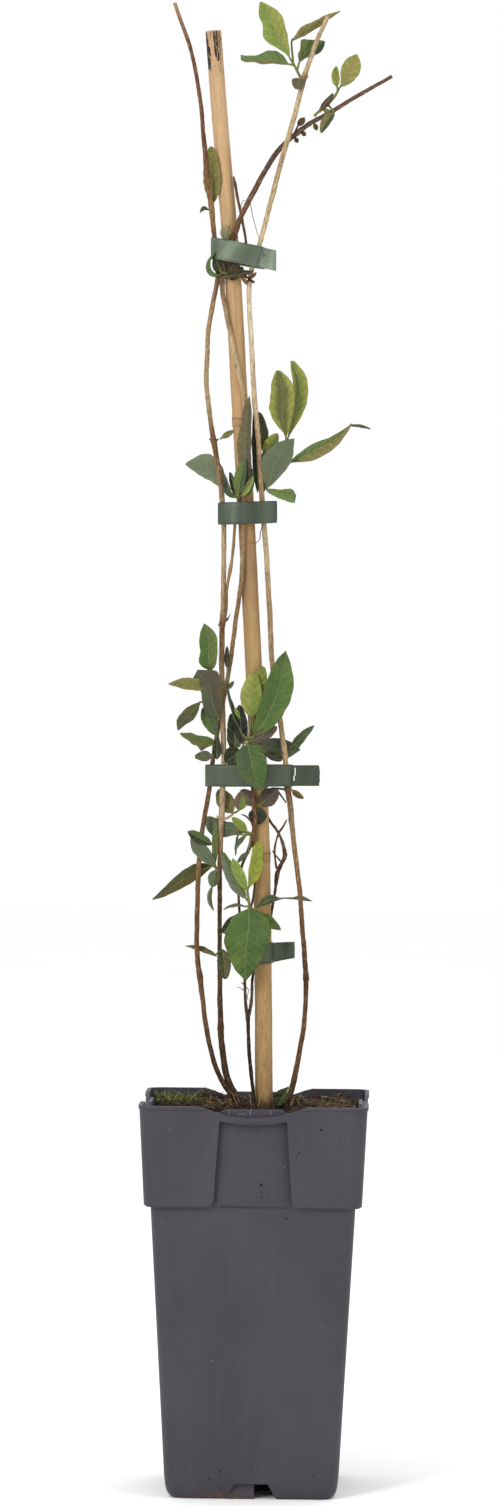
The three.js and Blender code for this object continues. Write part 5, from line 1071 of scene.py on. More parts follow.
# Large flakes of bark: (place, size, tone).
FLAKES = [
    ((-24, -6, 204.5), (4, 2.2, 1.2), "a06b38"), ((36, 30, 205), (4, 1.6, 1.2), "a98c66"),
    ((44, 40, 205.5), (4, 2.2, 1.8), "6d503c"), ((-29, 44, 206), (4.5, 2.2, 1.6), "5c4434"),
    ((-38, 20, 204), (3, 1.4, 1), "7d6046"), ((49, 30, 206.5), (4, 2.2, 1.8), "513c2e"),
    ((-14, 40, 206), (4.5, 3, 2), "463426"), ((31, 20, 204), (3, 1.2, 0.9), "8e7355"),
]
# Heaps of fibres: (x, y, spread, count).
FIBRES = [
    (33, 20, 4, 90), (46, 26, 3, 60), (26, 12, 2, 26), (20, 32, 3, 24), (-10, 14, 2.5, 24),
    (-26, 10, 2.5, 24), (38, -2, 4, 60), (47, 4, 3, 40), (-14, 2, 3, 30), (-21, 0, 2.5, 24),
]
# Bare old shoots that stand in the soil: (foot, lean, height).
OLD_SHOOTS = [
    ((-9.5, -4.5, 203), (-0.5, -0.2), 9), ((15.8, -4, 203), (0.15, -0.3), 8),
    ((18.5, -5, 203), (0.3, -0.1), 6.5), ((-2, -8, 203), (-0.25, -0.1), 8), ((1.5, -8.4, 203), (0.25, 0), 7),
    ((12, -5, 203), (0.1, 0), 5.5), ((-13, -5, 203), (-0.2, 0.1), 5), ((22, 2, 204), (0.3, 0), 6),
    ((-24, 5, 204), (-0.1, 0.2), 5),
]
# Tufts of moss and grass: (x, y, spread, count, longest).
TUFTS = [
    (-50, 30, 1.6, 20, 9), (-45, 24, 1.4, 16, 7), (-39, 32, 1.5, 22, 9), (-33, 26, 1.6, 12, 5),
    (-44, 30, 6, 150, 3), (-30, 34, 4, 40, 2.6), (14.5, 2, 2, 40, 4.5), (-46, 12, 1.2, 12, 12),
    (-37, 16, 1.4, 14, 10), (-49, 18, 1.0, 8, 13),
]
# Crumbs of peat that stick to the pot's front: (x, height, size).
CRUMBS = [
    (4.4, 166.2, 0.75), (4.6, 159.6, 0.55), (4.9, 161.5, 0.3), (17.6, 148.6, 0.55), (35.5, 195.6, 0.6),
    (22.2, 188.8, 0.35), (22.8, 181, 0.3), (24, 183.4, 0.45), (25.5, 182.6, 0.25), (6.5, 116.2, 0.35),
    (19, 186.5, 0.25), (-31, 170, 0.2), (2.9, 108.9, 0.25), (28, 201, 0.25), (-12, 155.6, 0.4),
    (-16, 155.2, 0.35), (-8.5, 155, 0.3), (41, 158, 0.3), (-22, 11, 0.45), (-16, 15, 0.5), (-12, 9, 0.35),
]


def soil_height():
    """The bumpy level of the peat, with the same clods as the solid has."""
    state = 7

    def draw():
        nonlocal state
        state = (state * 1664525 + 1013904223) % 4294967296
        return state / 4294967296

    clods = []
    for _ in range(CLODS):
        clods.append(((draw() - 0.5) * 112, (draw() - 0.5) * 112, 4 + 6 * draw(), 1 + 1.6 * draw()))

    def height(x, y):
        rise = sum(up * np.exp(-((x - cx) ** 2 + (y - cy) ** 2) / spread**2) for cx, cy, spread, up in clods)
        return SOIL_LEVEL - 0.6 + np.minimum(3.8, rise)

    return height


def crumbs_of(x, y, seed):
    """Small uneven lumps, as sums of waves that cross each other."""
    draw = np.random.default_rng(seed)
    total = 0 * x
    for size, strength in ((9, 0.6), (5, 0.55), (2.8, 0.6), (1.9, 0.5)):
        for _ in range(5):
            a, phase = draw.uniform(0, math.pi), draw.uniform(0, 6.28)
            total = total + strength / 5 * np.sin((x * math.cos(a) + y * math.sin(a)) * 6.28 / size + phase)
    return total


def add_soil(skin):
    """The crumbly top, as wide as the pot's inside with its collar and round corners, and its sides below."""
    cells, half, collar, straight, corner = 120, 53.9, 2.9, 51.6, 5.2
    w = np.linspace(-1, 1, cells + 1)
    u, v = np.meshgrid(w, w, indexing="ij")
    x, y = (a * (half + collar * np.clip((abs(b) - 0.42) / 0.06, 0, 1)) for a, b in ((u, v), (v, u)))
    past = np.maximum(0, np.stack([abs(x), abs(y)]) - straight)
    shrink = np.minimum(1, corner / np.maximum(np.hypot(*past), 1e-6))
    x, y = (np.sign(a) * (np.minimum(abs(a), straight) + over * shrink) for a, over in zip((x, y), past))
    z = soil_height()(x, y) + 0.95 * crumbs_of(x, y, 3)
    points = np.stack([x, y, z], axis=-1).reshape(-1, 3)
    at = lambda i, j: i * (cells + 1) + j
    there, back = range(cells), range(cells, 0, -1)
    faces = [(at(i, j), at(i + 1, j), at(i + 1, j + 1), at(i, j + 1)) for i in there for j in there]
    skin.add(points, faces, tone("352920"))
    rim = [at(i, 0) for i in there] + [at(cells, j) for j in there]
    rim += [at(i, cells) for i in back] + [at(0, j) for j in back]
    top = points[rim][::-1]
    width = half + collar
    sides = [
        top * [reach / width, reach / width, 0] + [0, 0, level]
        for level, reach in ((160, 54.2), (154, 51.3), (33, 44.7), (11.4, 43.4))
    ]
    skin.loft(np.array([top, *sides]), tone("33271f"))


def add_chip(skin, draw, centre, size, tint):
    """A flake of bark: an uneven plate with rounded ends, lying at a slant."""
    length, width, thick = size
    t = np.linspace(0, 1, 6)
    spin = Matrix.Rotation(draw.uniform(0, 6.28), 3, "Z")
    for axis in "YX":
        spin = spin @ Matrix.Rotation(draw.uniform(-0.6, 0.6), 3, axis)
    half = width / 2 * np.sin(math.pi * (0.12 + 0.76 * t)) * draw.uniform(0.75, 1.2, 6)
    edges = ((-1, -0.5), (-0.4, -0.9), (0.5, -0.8), (1, -0.3), (0.9, 0.5), (0.2, 0.9), (-0.7, 0.7))
    rings = []
    for share, reach in zip(t, half):
        bow = 0.25 * thick * math.sin(share * 5 + length)
        rings.append([((share - 0.5) * length, a * reach, b * thick / 2 + bow) for a, b in edges])
    skin.loft(np.array(rings) @ np.array(spin).T + centre, tint)


def add_fibre(skin, draw, start, step, radius, colour):
    """One thin curled root or strip of peat."""
    way = np.array(start) + np.cumsum(np.vstack([[0, 0, 0], draw.normal(size=(3, 3)) * step]), axis=0)
    way[:, 2] = np.clip(way[:, 2], start[2] - 0.7, start[2] + 3)
    way[:, :2] = np.clip(way[:, :2], -53, 53)
    tube(skin, [(*p, radius) for p in way], colour, 5, 0.12, pitch=0.9, seed=3)


def add_litter(skin):
    """Bark chips and flakes, straws all over the soil, heaps of fibres and a few bare old shoots."""
    height = soil_height()
    draw = np.random.default_rng(21)
    for i in range(CHIPS):
        x, y = draw.uniform(-SOIL_REACH, SOIL_REACH, 2)
        if i % 2:
            y = draw.uniform(-10, SOIL_REACH)
        longer = 1 if i % 9 else 1.5
        size = draw.uniform(0.8, 3.0) * longer, draw.uniform(0.5, 1.4), draw.uniform(0.4, 1.1)
        centre = np.array([x, y, height(x, y) + draw.uniform(0.2, 1.6)])
        add_chip(skin, draw, centre, size, tone(one_of(draw, PEAT_TONES)) * draw.uniform(0.6, 1.15))
    for centre, size, colour in FLAKES:
        add_chip(skin, draw, centre, size, tone(colour))
    for i in range(STRAWS):
        x, y = draw.uniform(-50, 50), draw.uniform(-14 if i % 5 < 3 else -51, 51)
        colour = one_of(draw, STRAW_TONES)
        add_fibre(skin, draw, (x, y, height(x, y) + 0.9), (1.7, 1.7, 0.9), draw.uniform(0.07, 0.16), colour)
    for x0, y0, spread, count in FIBRES:
        for _ in range(count):
            x, y = x0 + draw.normal() * spread, y0 + draw.normal() * spread * 0.6
            x, y = np.clip([x, y], -SOIL_REACH, SOIL_REACH)
            start = (x, y, height(x, y) + draw.uniform(0.9, 3.2))
            colour = one_of(draw, FIBRE_TONES)
            add_fibre(skin, draw, start, (1.3, 1.3, 0.7), draw.uniform(0.08, 0.2), colour)
    for root, lean, reach in OLD_SHOOTS:
        foot = np.array(root, float)
        step = np.array([*lean, 1.0]) * reach / 3
        way = [foot, foot + step, foot + 2 * step + [0.5, 0, 0], foot + 3 * step + [1.4 * lean[0], 0, -0.6]]
        route = [(*p, r) for p, r in zip(way, (0.42, 0.4, 0.3, 0.12))]
        tube(skin, route, [(0, "9c7d58"), (212, "a58a66")], 6, 0.12, pitch=1.0, seed=int(reach * 10))


def add_grass(skin):
    """Narrow young blades of grass and moss that stand in tufts."""
    draw = np.random.default_rng(17)
    t = np.linspace(0, 1, 6)[:, None]
    for x0, y0, spread, count, longest in TUFTS:
        for _ in range(count):
            x, y = x0 + draw.normal() * spread, y0 + draw.normal() * spread * 0.7
            root = np.array([np.clip(x, -53, 53), np.clip(y, -53, 53), 202.5])
            lean = draw.normal(size=2) * 0.55
            reach = draw.uniform(0.4, 1) * longest
            way = root + t * np.array([*lean, 0.9]) * reach + t**2 * np.array([*(lean * 0.5), -0.25]) * reach
            way[:, :2] = np.clip(way[:, :2], -54.2, 54.2)
            side = unit(np.array([draw.normal(), draw.normal() * 0.4, 0.1])) * draw.uniform(0.2, 0.42)
            out = unit(np.cross(side, [*lean, 1.0])) * 0.07
            half = side * (1 - 0.85 * t**1.5)
            skin.loft(strip_section(way, half, half, out), tone(one_of(draw, GRASS_TONES)))


def wall_at(x, z):
    """How far forward the pot's front stands at a place."""
    if z > 155 and abs(x) > 20.6:
        return 57 + (z - 153.8) * 2.6 / 53.2
    if z > POT_LEDGE:
        return 53.6 + (z - POT_LEDGE) * 2.9 / 51.4
    return 47 + (z - 33) * 6.6 / 121 if z > 33 else 45.2 + z * 1.8 / 33


def add_crumbs(skin):
    """Crumbs that stick to the pot's front: the placed ones, a low scatter and a thin one higher up."""
    draw = np.random.default_rng(5)
    spots = list(CRUMBS)
    for _ in range(70):
        spots.append((draw.normal() * 22 - 8, 3 + abs(draw.normal()) * 16, draw.uniform(0.1, 0.3)))
    for _ in range(26):
        spots.append((draw.uniform(-42, 42), draw.uniform(20, 150), draw.uniform(0.08, 0.2)))
    angle = round_angles(7)
    for x, z, size in spots:
        if abs(x) > 40 or (abs(x) < 13 and z < 10):
            continue
        middle = np.array([x, -wall_at(x, z) + 0.05, z])
        disc = np.stack([np.cos(angle), 0 * angle, np.sin(angle)], axis=1) * draw.uniform(0.7, 1.3, (7, 1))
        dome = ((1, 0), (0.75, 0.5), (0.25, 0.75))
        rings = [middle + disc * size * wide - [0, size * proud, 0] for wide, proud in dome]
        pale = draw.random() < 0.3 and size < 0.3
        colour = "a9a091" if pale else one_of(draw, ("2a211c", "241c18", "33261d"))
        skin.loft(np.array(rings), tone(colour))


# ---- Shader arithmetic ----


class Wire:
    """A socket of a finish's nodes, on which sums can be written."""

    def __init__(self, finish, socket):
        self.finish, self.socket = finish, socket

    def sum_of(self, operation, *values):
        return self.finish.node("Math", {"operation": operation}, dict(enumerate(values)))

    def __add__(self, other):
        return self.sum_of("ADD", self, other)

    def __radd__(self, other):
        return self.sum_of("ADD", other, self)

    def __sub__(self, other):
        return self.sum_of("SUBTRACT", self, other)

    def __rsub__(self, other):
        return self.sum_of("SUBTRACT", other, self)

    def __mul__(self, other):
        return self.sum_of("MULTIPLY", self, other)

    def __rmul__(self, other):
        return self.sum_of("MULTIPLY", other, self)

    def __truediv__(self, other):
        return self.sum_of("DIVIDE", self, other)

    def __abs__(self):
        return self.sum_of("ABSOLUTE", self)

    def __lt__(self, other):
        return self.sum_of("LESS_THAN", self, other)

    def __gt__(self, other):
        return self.sum_of("GREATER_THAN", self, other)

    def part(self):
        return self.sum_of("FRACT", self)

    def least(self, other):
        return self.sum_of("MINIMUM", self, other)

    def greatest(self, other):
        return self.sum_of("MAXIMUM", self, other)

    def between(self, low, high, start=0.0, end=1.0):
        """Rises smoothly from start at low to end at high."""
        return self.finish.node(
            "MapRange", {"interpolation_type": "SMOOTHSTEP"},
            {"Value": self, "From Min": low, "From Max": high, "To Min": start, "To Max": end},
        )

    def other(self, name):
        return Wire(self.finish, self.socket.node.outputs[name])


class Finish:
    """A material and its nodes."""

    def __init__(self, name, specular, roughness=0.5):
        self.material = bpy.data.materials.new(name)
        self.material.use_nodes = True
        self.tree = self.material.node_tree
        self.shader = self.tree.nodes["Principled BSDF"]
        self.shader.inputs["Roughness"].default_value = roughness
        self.shader.inputs["Specular IOR Level"].default_value = specular

    def node(self, kind, settings=None, sockets=None, output=0):
        made = self.tree.nodes.new("ShaderNode" + kind)
        for key, value in (settings or {}).items():
            setattr(made, key, value)
        for key, value in (sockets or {}).items():
            if isinstance(value, Wire):
                self.tree.links.new(value.socket, made.inputs[key])
            else:
                made.inputs[key].default_value = value
        return Wire(self, made.outputs[output])

    def mark(self, name):
        return self.node("Attribute", {"attribute_name": name}, output=1)

    def place(self):
        """The object's own place, in millimetres."""
        return self.stretched(self.node("TexCoord", output=3), 1000, 1000, 1000)

    def stretched(self, vector, x, y, z):
        return self.node("VectorMath", {"operation": "MULTIPLY"}, {0: vector, 1: (x, y, z)})

    def axes(self, vector):
        x = self.node("SeparateXYZ", sockets={0: vector})
        return x, x.other("Y"), x.other("Z")

    def noise(self, vector, scale, detail, rough=0.55):
        """Noise of one scale, or of a scale along each axis."""
        if isinstance(scale, tuple):
            vector, scale = self.stretched(vector, *scale), 1.0
        sockets = {"Vector": vector, "Scale": scale, "Detail": detail, "Roughness": rough}
        return self.node("TexNoise", sockets=sockets)

    def cells(self, vector, scale, edge=False):
        feature = "DISTANCE_TO_EDGE" if edge else "F1"
        return self.node("TexVoronoi", {"feature": feature}, {"Vector": vector, "Scale": scale})

    def mixed(self, share, a, b):
        a, b = (c if isinstance(c, Wire) else (*(tone(c) if isinstance(c, str) else c), 1.0) for c in (a, b))
        settings = {"data_type": "RGBA", "blend_type": "MIX", "clamp_factor": True}
        return self.node("Mix", settings, {0: share, 6: a, 7: b}, output=2)

    def shaded(self, colour, light):
        """A colour made lighter or darker by a number."""
        return self.node("VectorMath", {"operation": "SCALE"}, {0: colour, 3: light})

    def toned(self, share, colour, name, depth=0.5, light=None):
        """A colour with a share of its way towards a named tone, itself first made lighter or darker."""
        itself = colour if light is None else self.shaded(colour, light)
        return self.mixed(share, colour, self.mixed(depth, itself, name))

    def finished(self, colour, roughness=None, height=None, depth=0.0003):
        self.tree.links.new(colour.socket, self.shader.inputs["Base Color"])
        if roughness is not None:
            self.tree.links.new(roughness.socket, self.shader.inputs["Roughness"])
        if height is not None:
            bump = self.node("Bump", sockets={"Strength": 1.0, "Distance": depth, "Height": height})
            self.tree.links.new(bump.socket, self.shader.inputs["Normal"])
        return self.material


def leaf_finish():
    f = Finish("leaf", specular=0.35)
    grain = f.mark("grain")
    share, over, side = f.axes(f.mark("blade"))
    along, across, _ = f.axes(grain)
    off = abs(across)
    upper = side.between(-0.2, 0.2)
    patches = f.noise(grain, 0.12, 3)
    mottle = f.noise(grain, 0.8, 4, 0.62)
    wander = f.noise(grain, 0.14, 2)
    clear = f.noise(grain, 0.3, 2).between(0.38, 0.6)
    rib = 1 - off.between(0.06, 0.46 - 0.26 * share)
    slope = (along - off * 0.9 + off * off * 0.02 + wander * 4.5 + (across > 0) * 2.3) / 4.4
    branch = abs(slope.part() - 0.5) * 4.4
    fade = (1 - abs(over).between(0.6, 1.0)) * off.between(0.2, 0.9) * (0.3 + 0.7 * clear)
    veins = (1 - branch.between(0.0, 0.28)) * fade
    dome = branch.between(0.1, 2.0)
    net = 1 - f.cells(grain, 1.15, True).between(0.0, 0.12)
    lively = 0.4 + 0.6 * upper
    # Painted shade: the dome term makes the blade lighter where it bulges between the veins and darker in the
    # hollows along them.
    uneven = 0.18 * patches.between(0.3, 0.7) + 0.2 * mottle.between(0.32, 0.68) + 0.2 * dome
    light = 0.73 - 0.12 * upper + uneven * lively
    base = f.shaded(f.mark("tint"), light + 0.12 * abs(over).between(0.3, 0.95))
    warm = f.toned(patches.between(0.46, 0.68) * 0.18, base, "9a8f3c", 0.45)
    flushed = f.toned(mottle.between(0.54, 0.68) * 0.16, warm, "5f4d33")
    netted = f.mixed(net * (0.2 + 0.34 * upper), flushed, f.shaded(flushed, 1.6))
    veined = f.toned(veins * (0.3 + 0.5 * upper), netted, "b9c387", 0.4, 1.6)
    ribbed = f.toned(rib * (0.5 + 0.3 * upper), veined, "c6cf95", 0.5, 1.5)
    edged = f.toned(abs(over).between(0.9, 1.0) * 0.3, ribbed, "8b8a48")
    rough = 0.74 - 0.28 * upper + 0.12 * mottle
    relief = dome * 0.5 - rib * 0.6 - veins * 0.3 - net * 0.12
    raised = relief * upper + (rib * 0.6 + veins * 0.35 + net * 0.1) * (1 - upper) + mottle * 0.22
    return f.finished(edged, rough, raised, 0.0005)


def green_stalk_finish():
    f = Finish("green_stalk", specular=0.4)
    grain = f.mark("grain")
    streak = f.noise(grain, (2.2, 2.2, 0.25), 2)
    colour = f.shaded(f.mark("tint"), 0.75 + 0.5 * streak)
    flushed = f.mixed(f.noise(grain, 0.22, 2).between(0.5, 0.72) * 0.35, colour, "7a5540")
    return f.finished(flushed, 0.5 + 0.15 * streak, streak, 0.00015)


def bark_finish():
    f = Finish("bark", specular=0.25)
    grain = f.mark("grain")
    fibre = f.noise(grain, (2.2, 2.2, 0.16), 4, 0.62)
    fine = f.noise(grain, (5.0, 5.0, 1.3), 3)
    broad = f.noise(grain, (0.5, 0.5, 0.1), 3)
    blotch = f.noise(grain, (0.9, 0.9, 0.42), 4, 0.72)
    light = 0.42 + 0.4 * fibre.between(0.36, 0.64) + 0.35 * fine.between(0.3, 0.7)
    base = f.shaded(f.mark("tint"), light + 0.34 * broad.between(0.36, 0.64))
    pale = f.toned(blotch.between(0.52, 0.64) * 0.5, base, "d9c6a3", 0.5, 1.45)
    dark = f.toned((1 - blotch).between(0.53, 0.63) * 0.62, pale, "4e3320", 0.5, 0.4)
    cracked = f.mixed(fibre.between(0.4, 0.32) * 0.6, dark, f.shaded(dark, 0.32))
    height = fibre * 0.8 + fine * 0.4 + blotch * 0.5
    return f.finished(cracked, 0.6 + 0.25 * fine, height, 0.0006)


def bamboo_finish():
    f = Finish("bamboo", specular=0.35)
    grain = f.mark("grain")
    soot, stain_and_painted_shade, _ = f.axes(f.mark("blade"))
    _, _, z = f.axes(f.place())
    lines = f.noise(grain, (3.2, 3.2, 0.03), 3)
    broad = f.noise(grain, (0.35, 0.35, 0.012), 3)
    weather = f.noise(grain, (1.9, 1.9, 0.24), 4, 0.7)
    specks = f.noise(grain, (1.7, 1.7, 1.0), 2)
    patchy = f.noise(grain, (0.5, 0.5, 0.06), 4, 0.65)
    base = f.shaded(f.mark("tint"), 0.66 + 0.24 * lines + 0.3 * broad + 0.2 * patchy.between(0.35, 0.65))
    warm = f.toned(broad.between(0.45, 0.62) * 0.4, base, "a8743f")
    # Brown stains, partly painted shade along the cane's edges.
    streaked = f.toned(stain_and_painted_shade * (0.35 + 0.4 * patchy), warm, "6b4a2c", 0.5, 0.6)
    pitted = f.mixed(specks.between(0.68, 0.73) * 0.65, streaked, "5b4228")
    top = z.between(735, 771)
    black = (weather + soot * 0.36 + top * 0.03).between(0.72, 0.8)
    sooted = f.mixed(black, pitted, "1f1815")
    speckle = (specks + top * 0.06).between(0.68, 0.71) * z.between(690, 760)
    marked = f.mixed(speckle * 0.85, sooted, "2c2019")
    ring = 0
    for level in CANE_RINGS:
        for line, depth in ((0.8, 0.42), (-3.2, 0.3)):
            scar = 1 - abs(z - level - line).between(0.15, 0.6)
            marked = f.mixed(scar * depth, marked, "4a3420")
            ring = scar + ring
        halo = 1 - abs(z - level + 1.4).between(1.0, 4.6)
        marked = f.mixed(halo * 0.25, marked, "8d6a42")
    old = 1 - z.between(300, 345)
    stained = f.mixed((old * 0.06 + weather).between(0.56, 0.7) * (0.12 + 0.4 * old), marked, "7a5a34")
    earth = 1 - z.between(201, 214)
    soiled = f.mixed((earth * 0.4 + weather).between(0.62, 0.9) * earth, stained, "4f3822")
    return f.finished(soiled, 0.5 + 0.24 * weather, lines * 0.4 + weather * 0.25 - ring * 0.6, 0.0003)


def soil_finish():
    f = Finish("peat", specular=0.2)
    grain = f.mark("grain")
    coarse = f.noise(grain, 0.5, 4, 0.65)
    fine = f.noise(grain, 2.4, 3, 0.6)
    bits = f.cells(grain, 0.9)
    base = f.shaded(f.mark("tint"), 0.2 + 0.8 * coarse + 0.6 * fine)
    fibres = f.mixed((fine + coarse).between(1.08, 1.3) * 0.5, base, "7d6148")
    return f.finished(fibres, 0.85 + 0.1 * fine, fine + coarse - bits * 0.3, 0.0006)


def tie_finish():
    f = Finish("sage_plastic", specular=0.5)
    grain = f.mark("grain")
    _, up, _ = f.axes(grain)
    drawn = f.noise(grain, (0.02, 0.9, 1.0), 2)
    worn = f.noise(grain, (0.22, 0.07, 1.0), 3)
    crease = f.noise(grain, (0.8, 0.04, 1.0), 2).between(0.6, 0.74)
    rubbed = abs(up).between(4.9, 5.8)
    base = f.shaded(f.mark("tint"), 0.72 + 0.1 * drawn + 0.46 * worn)
    creased = f.mixed(crease * 0.22, base, f.shaded(base, 1.9))
    dusty = f.mixed(f.noise(grain, 1.1, 4).between(0.6, 0.75) * 0.2, creased, "7f7c66")
    edged = f.mixed(rubbed * 0.22, dusty, f.shaded(dusty, 1.7))
    return f.finished(edged, 0.36 + 0.2 * worn, drawn * 0.1 + worn * 0.5 + crease * 0.3, 0.0002)


def pot_finish():
    f = Finish("grey_moulded_plastic", specular=0.35)
    here = f.place()
    x, y, z = f.axes(here)
    grained = f.noise(here, 2.2, 2)
    clouds = f.noise(here, (0.022, 0.022, 0.012), 3)
    streaks = f.noise(here, (0.3, 0.3, 0.01), 3)
    dusty = f.noise(here, 0.09, 5, 0.62)
    splashed = f.noise(here, 0.35, 5, 0.7)
    base = f.mixed(clouds.between(0.3, 0.7), "48464e", "504d55")
    across = abs(x).least(abs(y))
    edge = 17.9 + (198 - z) * 0.06
    panel = (across < edge) * (z > PANEL_FOOT) * (z < PANEL_BROW)
    # Painted shade: a little darker over the recessed panels, darker beside the pillars and under the lip, and
    # a painted shadow line along the foot of the panels.
    painted_recess_shade = across.between(edge - 7, edge) * panel
    under = z.between(PANEL_BROW - 10, PANEL_BROW) * panel
    painted_shadow_line = (1 - abs(z - (POT_LEDGE + 0.2)).between(0.3, 0.9)) * (1 - across.between(19.5, 21))
    shadowed = f.shaded(base, 1 - 0.06 * panel - 0.34 * painted_recess_shade * painted_recess_shade - 0.2 * under * under - 0.4 * painted_shadow_line)
    streaked = f.mixed(streaks.between(0.48, 0.72) * 0.14, shadowed, "5c5b62")
    dust = f.mixed(dusty.between(0.46, 0.8) * (0.1 + 0.12 * (1 - z.between(0, 60))), streaked, "655c56")
    front = y < 0
    low = 1 - z.between(0, 30)
    left = 1 - abs(x + 16).between(4, 30)
    dirt = (splashed + low * 0.07 + left * 0.05).between(0.62, 0.74) * low * (0.35 + 0.65 * left)
    muddy = f.mixed(dirt * 0.6, dust, "4b3a30")
    rusty = (splashed + left * 0.1).between(0.58, 0.68) * (1 - z.between(1.5, 6)) * left * front
    orange = f.mixed(rusty * 0.6, muddy, "8f5b34")
    seam = (1 - abs(z - (POT_LEDGE + 0.3)).between(0.2, 0.9)) * (1 - abs(x + 6).between(4, 17)) * front
    lined = f.mixed(seam * (0.35 + 0.5 * splashed.between(0.42, 0.58)), orange, "3b2a1e")
    specks = 1 - f.cells(here, 0.12).between(0.03, 0.055)
    pale = f.mixed(specks * f.noise(here, 0.05, 1).between(0.5, 0.55) * 0.6, lined, "8f8c88")
    scratch = f.noise(here, (1.4, 1.4, 0.04), 2).between(0.72, 0.75)
    scored = f.mixed(scratch * 0.3, pale, "77767c")
    for at, level, wide, tall in (
        (-12.6, 205, 0.35, 2.4), (-1.5, 205, 0.4, 3), (9, 204.6, 0.35, 2), (-6, 203, 2.4, 0.3),
    ):
        tick = (1 - abs(x - at).between(wide * 0.6, wide)) * (1 - abs(z - level).between(tall * 0.7, tall))
        scored = f.mixed(tick * front * 0.35, scored, "a6a5a8")
    inside = (1 - abs(x).greatest(abs(y)).between(54.7, 55.2)) * (z > 190)
    stained = inside * z.between(200, 206, 1, 0) * dusty.between(0.34, 0.6)
    earthy = f.mixed(stained * 0.8, scored, "2f261f")
    rough = 0.46 + 0.2 * dusty + 0.2 * dirt
    return f.finished(earthy, rough, grained * 0.3 + splashed * 0.2 - scratch * 0.2, 0.0002)


# ---- Making the pieces ----

LEAF, STALK, BARK = leaf_finish(), green_stalk_finish(), bark_finish()
BAMBOO, PEAT, SAGE, POT = bamboo_finish(), soil_finish(), tie_finish(), pot_finish()

pot = frame["nodes"]["pot"]
pot.data.materials.clear()
pot.data.materials.append(POT)
pot.data.polygons.foreach_set("use_smooth", [True] * len(pot.data.polygons))
for name, kind, settings in (
    ("weld", "WELD", {"merge_threshold": 0.00002}),
    ("flat_faces", "DECIMATE", {"decimate_type": "DISSOLVE", "angle_limit": math.radians(0.6)}),
    (
        "rounded_edges", "BEVEL",
        {"width": 0.0004, "segments": 2, "limit_method": "ANGLE", "angle_limit": math.radians(24)},
    ),
    ("even_shading", "WEIGHTED_NORMAL", {"weight": 80}),
):
    modifier = pot.modifiers.new(name, kind)
    for key, value in settings.items():
        setattr(modifier, key, value)


def dress(name, finishes, slot, nodes, fill, *facts, lean=True):
    """Makes a piece from what fills its skin. All pieces lean, apart from those of the soil and the pot."""
    skin = Skin()
    fill(skin, *facts)
    skin.piece(name, finishes, nodes, lean)


dress("peat", [PEAT], "soil", ["soil"], add_soil, lean=False)
dress("bark_bits_and_roots", [BARK], "soil", [], add_litter, lean=False)
dress("moss_and_grass", [STALK], "fresh_leaf", [], add_grass, lean=False)
dress("crumbs_on_pot", [PEAT], "soil", [], add_crumbs, lean=False)
dress("cane", [BAMBOO], "bamboo", ["bamboo_cane"], add_cane)
dress("left_woody_stems", [BARK, STALK], "left_bark", ["left_stems"], add_left_stems)
dress("middle_woody_stem", [BARK, STALK], "middle_bark", ["middle_stem"], add_middle_stem)
dress("right_woody_stem", [BARK, STALK], "right_bark", ["right_stem"], add_right_stem)
dress("withered_leaf", [LEAF, STALK], "dry_leaf", [], add_fallen_leaves)
dress("tendrils", [BARK], "middle_bark", [], add_threads)
slot_of = {entry["node"]: entry["material_slot"] for entry in frame["record"]["subparts"]}
for number, name in enumerate(LEAVES):
    fill, *facts = (add_curl,) if name == "curled_leaf" else (add_tuft, name, 100 + 40 * number)
    dress("foliage_" + name, [LEAF, STALK], slot_of[name], [name], fill, *facts)
for number, name in enumerate(TIES):
    dress("band_" + name, [SAGE], "tie_plastic", [name], add_tie, name, number)

# ---- Floor, light and camera ----

FLOOR_HALF = 6.0
AIM_HEIGHT = 0.42
EYE_HEIGHT = 0.448
EYE_SIDE, EYE_BACK = 0.0684, -2.799
EYE_TURN = math.radians(1.4)
LOOK_TURN = math.radians(0.054)
LOOK_DOWN = math.radians(1.19)
LENS, SENSOR = 126.3, 36

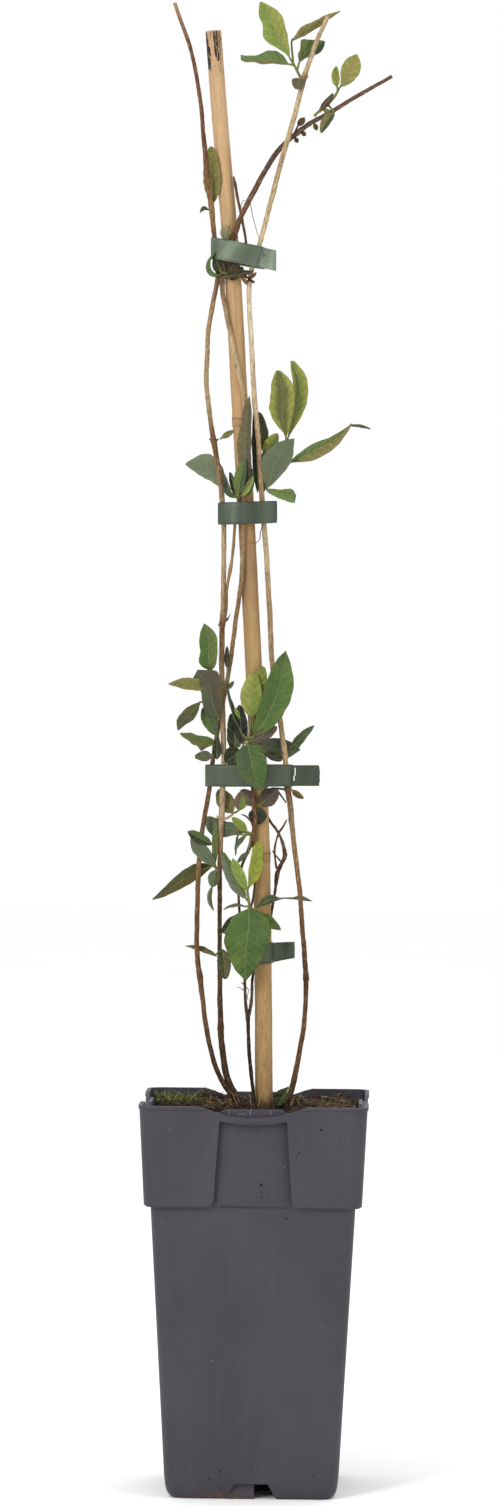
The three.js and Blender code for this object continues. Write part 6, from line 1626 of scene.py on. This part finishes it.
floor_mesh = bpy.data.meshes.new("floor")
corners = [(FLOOR_HALF * x, FLOOR_HALF * y, 0) for x, y in ((-1, -1), (1, -1), (1, 1), (-1, 1))]
floor_mesh.from_pydata(corners, [], [(0, 1, 2, 3)])
floor = bpy.data.objects.new("floor", floor_mesh)
bpy.context.scene.collection.objects.link(floor)
pale = Finish("pale_floor", roughness=0.9, specular=0.1)
cloudy = pale.mixed(pale.noise(pale.place(), 0.004, 2), (0.97, 0.97, 0.97), (0.99, 0.99, 0.985))
floor_mesh.materials.append(pale.finished(cloudy))

world = bpy.data.worlds.new("studio")
bpy.context.scene.world = world
world.use_nodes = True
backdrop = world.node_tree.nodes["Background"].inputs
backdrop["Color"].default_value = (1, 1, 1, 1)
backdrop["Strength"].default_value = 1.0


def softbox(name, place, size, power):
    light = bpy.data.lights.new(name, "AREA")
    light.energy, light.shape = power, "RECTANGLE"
    light.size, light.size_y = size
    made = bpy.data.objects.new(name, light)
    made.location = place
    made.rotation_euler = (Vector(place) - Vector((0, 0, AIM_HEIGHT))).to_track_quat("Z", "Y").to_euler()
    bpy.context.scene.collection.objects.link(made)


softbox("key", (-1.15, -1.9, 1.5), (0.5, 1.5), 30)
softbox("fill", (1.9, -1.2, 1.0), (0.4, 1.5), 9)
softbox("back", (0.5, 1.9, 1.7), (1.0, 1.0), 8)

scene = bpy.context.scene
scene.view_settings.view_transform = "Standard"
lens = bpy.data.cameras.new("camera")
camera = bpy.data.objects.new("camera", lens)
scene.collection.objects.link(camera)
scene.camera = camera
lens.lens, lens.sensor_width = LENS, SENSOR
drift = (EYE_HEIGHT - SOIL_LEVEL * MM) * math.sin(LEAN)
camera.location = (EYE_SIDE - drift * math.cos(EYE_TURN), EYE_BACK - drift * math.sin(EYE_TURN), EYE_HEIGHT)
aim = Matrix.Rotation(EYE_TURN + LOOK_TURN, 3, "Z") @ Matrix.Rotation(math.radians(90) - LOOK_DOWN, 3, "X")
camera.rotation_euler = (aim @ Matrix.Rotation(LEAN, 3, "Z")).to_euler()
lens.clip_start, lens.clip_end = 0.1, 30
